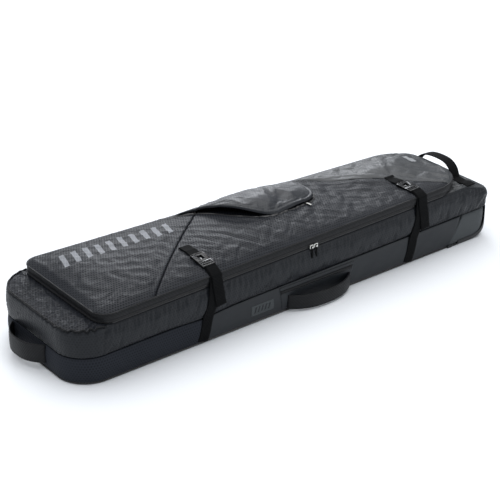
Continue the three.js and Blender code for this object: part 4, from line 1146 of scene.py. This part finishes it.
straps = {}
for side in ("left", "right"):
    plug_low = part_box(side + "_buckle_plug")[0]
    along = (node_middle(side + "_upper_strap") - side_mid).dot(side_dir)
    plug_out = -0.026
    end_z = plug_low[2] + 0.0065
    path, normals = climb(along, STRAP["sewn"], plug_out, end_z, 0.0022)
    lower = ribbon(side + "_lower_webbing", path, normals, STRAP["width"], tape, "base",
                   [side + "_lower_strap"], live=False)
    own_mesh(lower)
    tail_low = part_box(side + "_strap_tail")[0][2]
    path, normals = climb(along + 0.003, tail_low, plug_out, end_z + 0.0025, 0.0052, 12, -0.022)
    path[0] = path[0] + np.array(out_dir) * 0.004
    path[1] = path[1] + np.array(out_dir) * 0.002
    ribbon(side + "_loose_tail", path, normals, STRAP["width"], tape, side + "_plug",
           [side + "_strap_tail"])
    low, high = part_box(side + "_upper_strap")
    start = -(node_middle(side + "_upper_strap") - side_mid).dot(out_dir)
    outs = np.linspace(start - 0.033, start + 0.030, 12)
    lid_path = [np.array(rest_on(near_point(along, -o, 0.25), -UP)) + [0, 0, 0.0028] for o in outs]
    lid_path = list(smoothed(lid_path, np.array([[0, 0, 1.0]] * 12), 2))
    lid_path[0][2] = max(lid_path[0][2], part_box(side + "_buckle_socket")[1][2] - 0.006)
    ribbon(side + "_upper_webbing", lid_path, [UP] * 12, STRAP["width"], tape, "lid",
           [side + "_upper_strap"])
    straps[side] = along
print("straps at", {k: round(a, 3) for k, a in straps.items()})

# %% [markdown]
# Buckles, the guard and the wheel housings already have the right shape as solids. A moulded part never has
# a knife edge, though, so each gets a small round on every sharp edge. The solid itself stays as it is: a
# merged copy is bevelled and takes its place.
# %% Moulded parts with rounded edges
def body_of(node):
    return next(b for b, nodes in frame["record"]["behaviour"]["bodies"].items() if node in nodes)


def softened(node, surface, width, angle=32):
    """A copy of a solid with every edge sharper than angle rounded to width."""
    bm = bmesh.new()
    bm.from_mesh(frame["nodes"][node].data)
    bmesh.ops.remove_doubles(bm, verts=bm.verts, dist=2e-5)
    bmesh.ops.dissolve_limit(bm, angle_limit=math.radians(2), verts=bm.verts, edges=bm.edges)
    sharp = [e for e in bm.edges if len(e.link_faces) == 2 and e.calc_face_angle() > math.radians(angle)]
    bmesh.ops.bevel(bm, geom=sharp, offset=width, offset_type="OFFSET", segments=2, profile=0.5,
                    affect="EDGES", clamp_overlap=True, material=-1)
    mesh = bpy.data.meshes.new(node + "_moulded")
    bm.to_mesh(mesh)
    bm.free()
    made = bpy.data.objects.new(node + "_moulded", mesh)
    bpy.context.scene.collection.objects.link(made)
    finish(made, surface, body_of(node), 0, [node])
    mesh.set_sharp_from_angle(angle=math.radians(40))
    return made


for side in ("left", "right"):
    softened(side + "_buckle_plug", acetal, 0.0008)
    softened(side + "_buckle_socket", acetal, 0.0008)
softened("tail_guard", polypropylene, 0.0012)
for side in ("foot", "wheel"):
    softened("zip_slider_" + side, nickel, 0.0006)
    softened("zip_puller_" + side, tape, 0.0008)
softened("pocket_slider", nickel, 0.0006)
for side in ("near", "far"):
    softened(side + "_wheel_housing", polypropylene, 0.0008)
    softened(side + "_hub", polypropylene, 0.0008)
    softened(side + "_tyre", polyurethane, 0.0008)
plain = {"base_stiffener": polyethylene, "near_axle": steel, "far_axle": steel, "near_bearing": steel,
         "far_bearing": steel}
for name, surface in plain.items():
    frame["nodes"][name].data.materials.clear()
    frame["nodes"][name].data.materials.append(surface)
print("moulded parts done")

# %% [markdown]
# The handles are wide bands of folded webbing with foam inside. Each is a closed tube with a flat section.
# They are sewn at both ends.
# %% Handles
def flat_tube(name, columns, path, half_wide, half_thick, surface, replaced, rows=24):
    """path(u) gives points, the wide direction and the thin direction."""
    def place(u, v):
        p, wide, thin = path(u)
        a = 2 * math.pi * v
        c, s = np.cos(a), np.sin(a)
        w = np.sign(c) * np.abs(c) ** 0.35
        t = np.sign(s) * np.abs(s) ** 0.7
        groove = 1 - 0.22 * np.exp(-((np.abs(w) - 0.78) / 0.05) ** 2)
        end = np.where((u < 1e-6) | (u > 1 - 1e-6), 0.5, 1.0)
        at = p + wide * (w * half_wide)[:, None] + thin * (t * half_thick * groove * end)[:, None]
        return at, np.stack([u * 0.3, w * half_wide], 1)

    made = cloth(name, columns, rows, place, joined=True)
    bm = bmesh.new()
    bm.from_mesh(made.data)
    bmesh.ops.holes_fill(bm, edges=[e for e in bm.edges if e.is_boundary])
    bmesh.ops.recalc_face_normals(bm, faces=bm.faces)
    bm.to_mesh(made.data)
    bm.free()
    finish(made, surface, None)
    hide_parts(*replaced)
    return made


def vec(v, n):
    """The same direction for n points."""
    return np.tile(np.array(v, float), (n, 1))


SIDE_HANDLE = {"from": -0.062, "to": 0.196, "middle": 0.032, "half": 0.024, "reach": 0.045}
FOOT_HANDLE = {"from": -0.068, "to": 0.118, "middle": 0.054, "half": 0.030, "reach": 0.047}


def side_path(u):
    out = 0.004 + (SIDE_HANDLE["reach"] - 0.004) * (1 - np.abs(2 * u - 1) ** 2.6)
    along = SIDE_HANDLE["from"] + (SIDE_HANDLE["to"] - SIDE_HANDLE["from"]) * u
    p = vec(side_mid, len(u)) + vec(side_dir, len(u)) * along[:, None] + vec(out_dir, len(u)) * out[:, None]
    p[:, 2] = SIDE_HANDLE["middle"] - 0.003 * (1 - np.abs(2 * u - 1) ** 2)
    return p, vec(UP, len(u)), vec(out_dir, len(u))


def foot_path(u):
    out = 0.003 + (FOOT_HANDLE["reach"] - 0.003) * (1 - np.abs(2 * u - 1) ** 2.6)
    y = FOOT_HANDLE["from"] + (FOOT_HANDLE["to"] - FOOT_HANDLE["from"]) * u
    p = np.stack([foot_end - out, y, FOOT_HANDLE["middle"] + 0 * y], 1)
    return p, vec(UP, len(u)), vec((-1, 0, 0), len(u))


side_handle = flat_tube("side_haul_handle", 90, side_path, SIDE_HANDLE["half"], 0.0042, edge_tape,
                        ["side_handle"])
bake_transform(side_handle)
foot_handle = flat_tube("foot_end_handle", 70, foot_path, FOOT_HANDLE["half"], 0.004, edge_tape,
                        ["foot_handle"])
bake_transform(foot_handle)
print("side and foot handles:", [len(o.data.polygons) for o in (side_handle, foot_handle)], "faces")

# %% [markdown]
# The handle at the wheel end is plain webbing: flat on the deck, up over the hand, and down to its far
# root. Its path is a list of heights over the deck, evened out, and the flat parts lie where rays find the
# deck.
# %% Wheel-end handle
end_x = node_middle("wheel_end_handle").x
end_low, end_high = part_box("wheel_end_handle")
END_SHAPE = ((0.0, 0.0), (0.006, 0.35), (0.016, 0.66), (0.042, 0.95), (0.084, 0.99), (0.125, 0.92),
             (0.155, 0.70), (0.178, 0.35), (0.190, 0.0))
END_WIDTHS = (-0.014, -0.007, 0, 0.007, 0.014)


def on_deck(y):
    """Height of the middle of the strap where it lies on the deck."""
    hits = [rest_on(Vector((end_x + d, y, 0.20)), -UP).z for d in END_WIDTHS]
    return max(hits) + 0.0028


def end_points():
    """Flat on the deck, up over the hand and down to the far root."""
    near_tab, far_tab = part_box("end_handle_tab_near"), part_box("end_handle_tab_far")
    flat = [(y, on_deck(y)) for y in np.linspace(near_tab[0][1], end_low[1] - 0.004, 8)]
    back = [(y, on_deck(y)) for y in np.linspace(end_high[1] + 0.002, far_tab[1][1], 4)]
    rise = end_high[2] - 0.002 - flat[-1][1]
    arch = [(end_low[1] + 0.003 + d, flat[-1][1] + rise * t) for d, t in END_SHAPE]
    return np.array([(end_x, y, z) for y, z in flat + arch + back])


raw = end_points()
fine = sample(np.linspace(0, 1, 90), np.linspace(0, 1, len(raw)), raw)
for _ in range(4):
    fine[1:-1] = (fine[:-2] + 2 * fine[1:-1] + fine[2:]) / 4
slope = np.gradient(fine, axis=0)
end_normal = np.stack([0 * slope[:, 0], -slope[:, 2], slope[:, 1]], 1)
end_normal /= np.linalg.norm(end_normal, axis=1, keepdims=True)


def end_path(u):
    t = np.linspace(0, 1, len(fine))
    return sample(u, t, fine), vec((1, 0, 0), len(u)), sample(u, t, end_normal)


end_handle = flat_tube("wheel_end_grip", 110, end_path, 0.019, 0.0026, tape,
                       ["wheel_end_handle", "end_handle_tab_near", "end_handle_tab_far"])
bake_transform(end_handle)
print("wheel-end handle:", len(end_handle.data.polygons), "faces")

# %% [markdown]
# Patches are cut from a grid and laid on the skin with rays. On the near side a slanted panel backs the haul
# handle, with a folded flap above it, and a small moulded patch carries a plain pattern of bars. On
# the lid there is a woven label.
# %% Patches and labels
def patch(name, corners, surface, lift, thick, columns, rows, replaced=(), bow=0.0):
    """A patch on the near side. corners: (along, z) at bottom left, bottom right, top right and top left."""
    bl, br, tr, tl = (np.array(c) for c in corners)

    def place(u, v):
        shares = ((1 - u) * (1 - v), u * (1 - v), u * v, (1 - u) * v)
        flat = sum(share[:, None] * c for share, c in zip(shares, (bl, br, tr, tl)))
        inner = np.minimum(np.minimum(u, 1 - u) * columns, np.minimum(v, 1 - v) * rows) > 0.5
        rise = lift * (0.5 + 0.5 * inner) + bow * np.sin(math.pi * v) * inner
        at = [np.array(rest_on(near_point(a, 0, z), -out_dir) + out_dir * r) for (a, z), r in zip(flat, rise)]
        return np.array(at), flat

    return finish(cloth(name, columns, rows, place), surface, "base", thick, replaced)


def leaning(a, z, half, height, lean=0.0):
    """Corners of a patch round the place (a, z), with its upper edge moved along by lean."""
    return [(a - half, z - height), (a + half, z - height), (a + half + lean, z + height),
            (a - half + lean, z + height)]


BACKING = [(-0.084, 0.012), (0.188, 0.012), (0.218, 0.088), (-0.094, 0.088)]
FLAP = [(-0.090, 0.066), (0.204, 0.066), (0.210, 0.078), (-0.092, 0.078)]
backing = patch("handle_backing", BACKING, tarpaulin, 0.0014, 0.0012, 90, 26, ["side_handle_patch"])
flap = patch("handle_flap", FLAP, edge_tape, 0.0026, 0.0016, 90, 6, bow=0.002)
badge_low, badge_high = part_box("side_badge")
badge_at = (node_middle("side_badge") - side_mid).dot(side_dir)
badge_z = (badge_low[2] + badge_high[2]) / 2
side_label = patch("side_label", leaning(badge_at, badge_z, 0.044, 0.017), rubberised, 0.0012, 0.001,
                   40, 16, ["side_badge"])
skins = skin_tree([near_side_panel, side_label])
for i in range(5):
    bar = leaning(badge_at - 0.031 + i * 0.0135, badge_z, 0.003, 0.010, 0.006)
    patch("side_label_bar_%d" % i, bar, tarpaulin, 0.0008, 0.0006, 4, 10)
skins = skin_tree([lid_rear, lid_centre])
low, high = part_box("lid_badge")


def place_label(u, v):
    x, y = low[0] + (high[0] - low[0]) * u, low[1] + (high[1] - low[1]) * v
    at = [np.array(rest_on(Vector((a, b, 0.28)), -UP)) + [0, 0, 0.0012] for a, b in zip(x, y)]
    return np.array(at), np.stack([x, y], 1)


lid_label = cloth("lid_label", 12, 22, place_label)
finish(lid_label, woven_label, "lid", 0.0008, ["lid_badge"])
print("patches:", [len(o.data.polygons) for o in (backing, flap, side_label, lid_label)], "faces")


# %% [markdown]
# Inside the lid the raw edges of its two seams are bound with tape. Rays from below find the underside, and
# the tape is laid along them.
# %% Seam binding inside the lid
skins = skin_tree([lid_front, lid_centre, lid_rear])
BINDING = 0.016


def bind_seam(name, seam):
    """Tape over the raw edges of a lid seam, on the inside."""
    (ax, ay), (bx, by) = seam
    side = np.array([by - ay, ax - bx]) / math.hypot(bx - ax, by - ay)

    def place(u, v):
        t = 0.03 + 0.94 * u
        x = ax + (bx - ax) * t + side[0] * BINDING * (v - 0.5)
        y = ay + (by - ay) * t + side[1] * BINDING * (v - 0.5)
        at = np.array([rest_on(Vector((a, b, 0.20)), UP) for a, b in zip(x, y)])
        at[:, 2] -= 0.0009 * np.sin(math.pi * v) + 0.0003
        return at, np.stack([v * BINDING, u], 1)

    return finish(cloth(name, 160, 6, place), edge_tape, "lid", 0.0006)


bindings = [bind_seam("front_seam_binding", front_seam), bind_seam("rear_seam_binding", rear_seam)]
print("seam bindings:", [len(o.data.polygons) for o in bindings], "faces")

# %% [markdown]
# The pocket closes with its own zip along its free edge: a tape on the lid and one row of coil. It uses the
# same rule as the pocket's edge, moved outwards.
# %% Pocket zip
COIL_PITCH, COIL_TAPE = 0.004, 0.009



def place_pocket_zip(u, v):
    ex, ey, nx, ny = pocket_edge(u)
    out = 0.0085 * (1 - v) - 0.001
    x, y = ex + nx * out, np.minimum(ey + ny * out, POCKET["far"])
    teeth = 0.8 + 0.2 * np.cos(u * pocket_run[-1] * 2 * math.pi / COIL_PITCH)
    coil = np.exp(-((v - 0.5) / 0.16) ** 2) * teeth
    at = np.array([rest_on(Vector((a, b, 0.25)), -UP) for a, b in zip(x, y)])
    at[:, 2] += 0.0012 + 0.0018 * coil
    return at, np.stack([u * pocket_run[-1], v * COIL_TAPE], 1)


pocket_zip = cloth("pocket_zip_tape", 520, 8, place_pocket_zip)
finish(pocket_zip, nylon_coil, "lid", 0.001, ["pocket_zip"])
print("pocket zip:", len(pocket_zip.data.polygons), "faces")

# %% [markdown]
# The lid carries a large screen print. Here it is a plain row of slanted bars in pale grey ink, mixed into
# a copy of the ripstop by place, so that the folds of the lid carry it.
# %% Screen print on the lid
def screen_print(surface, start, size, lean, pitch, share, ink):
    """Bars in plan: start is the near foot corner, size (length, depth), lean the slant of the bars."""
    made = surface.copy()
    made.name = "ripstop polyester, screen printed"
    tree = made.node_tree
    shader = tree.nodes["Principled BSDF"]
    place = add(tree, "ShaderNodeTexCoord").outputs["Object"]
    turned = add(tree, "ShaderNodeMapping",
                 {"Vector": place, "Location": (*start, 0), "Rotation": (0, 0, -taper)},
                 vector_type="TEXTURE")
    split = add(tree, "ShaderNodeSeparateXYZ", {0: turned})
    x, y = split.outputs[0], split.outputs[1]
    slanted = add(tree, "ShaderNodeMath", {0: y, 1: lean, 2: x}, operation="MULTIPLY_ADD")
    bars = add(tree, "ShaderNodeMath", {0: slanted, 1: 1 / pitch}, operation="MULTIPLY")
    part = add(tree, "ShaderNodeMath", {0: bars}, operation="FRACT")
    mask = add(tree, "ShaderNodeMapRange", {0: part, 1: share, 2: share + 0.03, 3: 1.0, 4: 0.0})
    for value, low, high in ((part, 0.0, 0.03), (slanted, 0.0, 0.002), (y, 0.0, 0.002),
                             (slanted, size[0], size[0] - 0.002), (y, size[1], size[1] - 0.002)):
        edge = add(tree, "ShaderNodeMapRange", {0: value, 1: low, 2: high, 3: 0.0, 4: 1.0})
        mask = add(tree, "ShaderNodeMath", {0: mask, 1: edge}, operation="MULTIPLY")
    grain = add(tree, "ShaderNodeTexNoise", {"Vector": place, "Scale": 60.0, "Detail": 3.0})
    rubbed = add(tree, "ShaderNodeMapRange", {0: grain, 1: 0.3, 2: 0.45, 3: 0.82, 4: 1.0})
    worn = add(tree, "ShaderNodeMath", {0: mask, 1: rubbed}, operation="MULTIPLY")
    before = shader.inputs["Base Color"].links[0].from_socket
    mixed = add(tree, "ShaderNodeMix", {0: worn, 6: before, 7: linear(ink)}, data_type="RGBA")
    plug(tree, shader, Base_Color=mixed)
    return made


PRINT = {"start": (-0.690, 0.062), "size": (0.400, 0.082), "lean": -0.25, "pitch": 0.040, "share": 0.42}
lid_front.data.materials[0] = screen_print(shell_ripstop, **PRINT, ink="#7c7f84")
print("print bars:", int(PRINT["size"][0] / PRINT["pitch"]))

# %% [markdown]
# The floor is a pale sweep far larger than the bag, with faint clouds of shade, and the surround is an even
# near-white. The surround is kept weak so that the lamps still draw soft shadows.
# %% Floor and surround
FLOOR_HALF = 14


def floor_sheet():
    bm = bmesh.new()
    bmesh.ops.create_grid(bm, x_segments=1, y_segments=1, size=FLOOR_HALF)
    mesh = bpy.data.meshes.new("floor")
    bm.to_mesh(mesh)
    bm.free()
    made = bpy.data.objects.new("floor", mesh)
    bpy.context.scene.collection.objects.link(made)
    surface, tree, shader = material("painted studio floor", Roughness=0.6, IOR=1.45)
    place = add(tree, "ShaderNodeTexCoord").outputs["Object"]
    clouds = add(tree, "ShaderNodeTexNoise", {"Vector": place, "Scale": 0.6})
    base = add(tree, "ShaderNodeMix", {0: clouds, 6: linear("#ebeef2"), 7: linear("#eff2f5")},
               data_type="RGBA")
    plug(tree, shader, Base_Color=base)
    made.data.materials.append(surface)
    return made


floor = floor_sheet()
world = bpy.data.worlds.new("studio")
bpy.context.scene.world = world
world.use_nodes = True
world.node_tree.nodes["Background"].inputs["Color"].default_value = linear("#f6f9ff")
world.node_tree.nodes["Background"].inputs["Strength"].default_value = 0.42
print("floor", round(floor.dimensions.x, 1), "m across")

# %% [markdown]
# The light is soft. A broad silk above the far side gives most of it. A softbox behind the bag draws the
# sheen on the lid and the shadow in front, and a weak one in front keeps the near walls from going black.
# %% Lamps
def softbox(name, eye, target, size, watts, colour="#ffffff"):
    """A rectangular lamp of the given size in metres."""
    lamp = bpy.data.lights.new(name, "AREA")
    lamp.shape, lamp.size, lamp.size_y, lamp.energy = "RECTANGLE", size[0], size[1], watts
    lamp.color = linear(colour)[:3]
    return look(bpy.data.objects.new(name, lamp), eye, target)


sky = bpy.data.lights.new("overhead_silk", "SUN")
sky.energy, sky.angle = 2.75, math.radians(75)
look(bpy.data.objects.new("overhead_silk", sky), (0.25, 0.55, 3.0), (0, 0, 0))
softbox("rear_softbox", (1.4, 2.8, 1.5), (0, 0, 0.2), (2.2, 0.7), 42, "#f7faff")
softbox("near_fill", (2.4, -3.4, 1.3), (0.1, 0, 0.1), (1.6, 1.2), 16)
bpy.context.scene.view_settings.view_transform = "Standard"
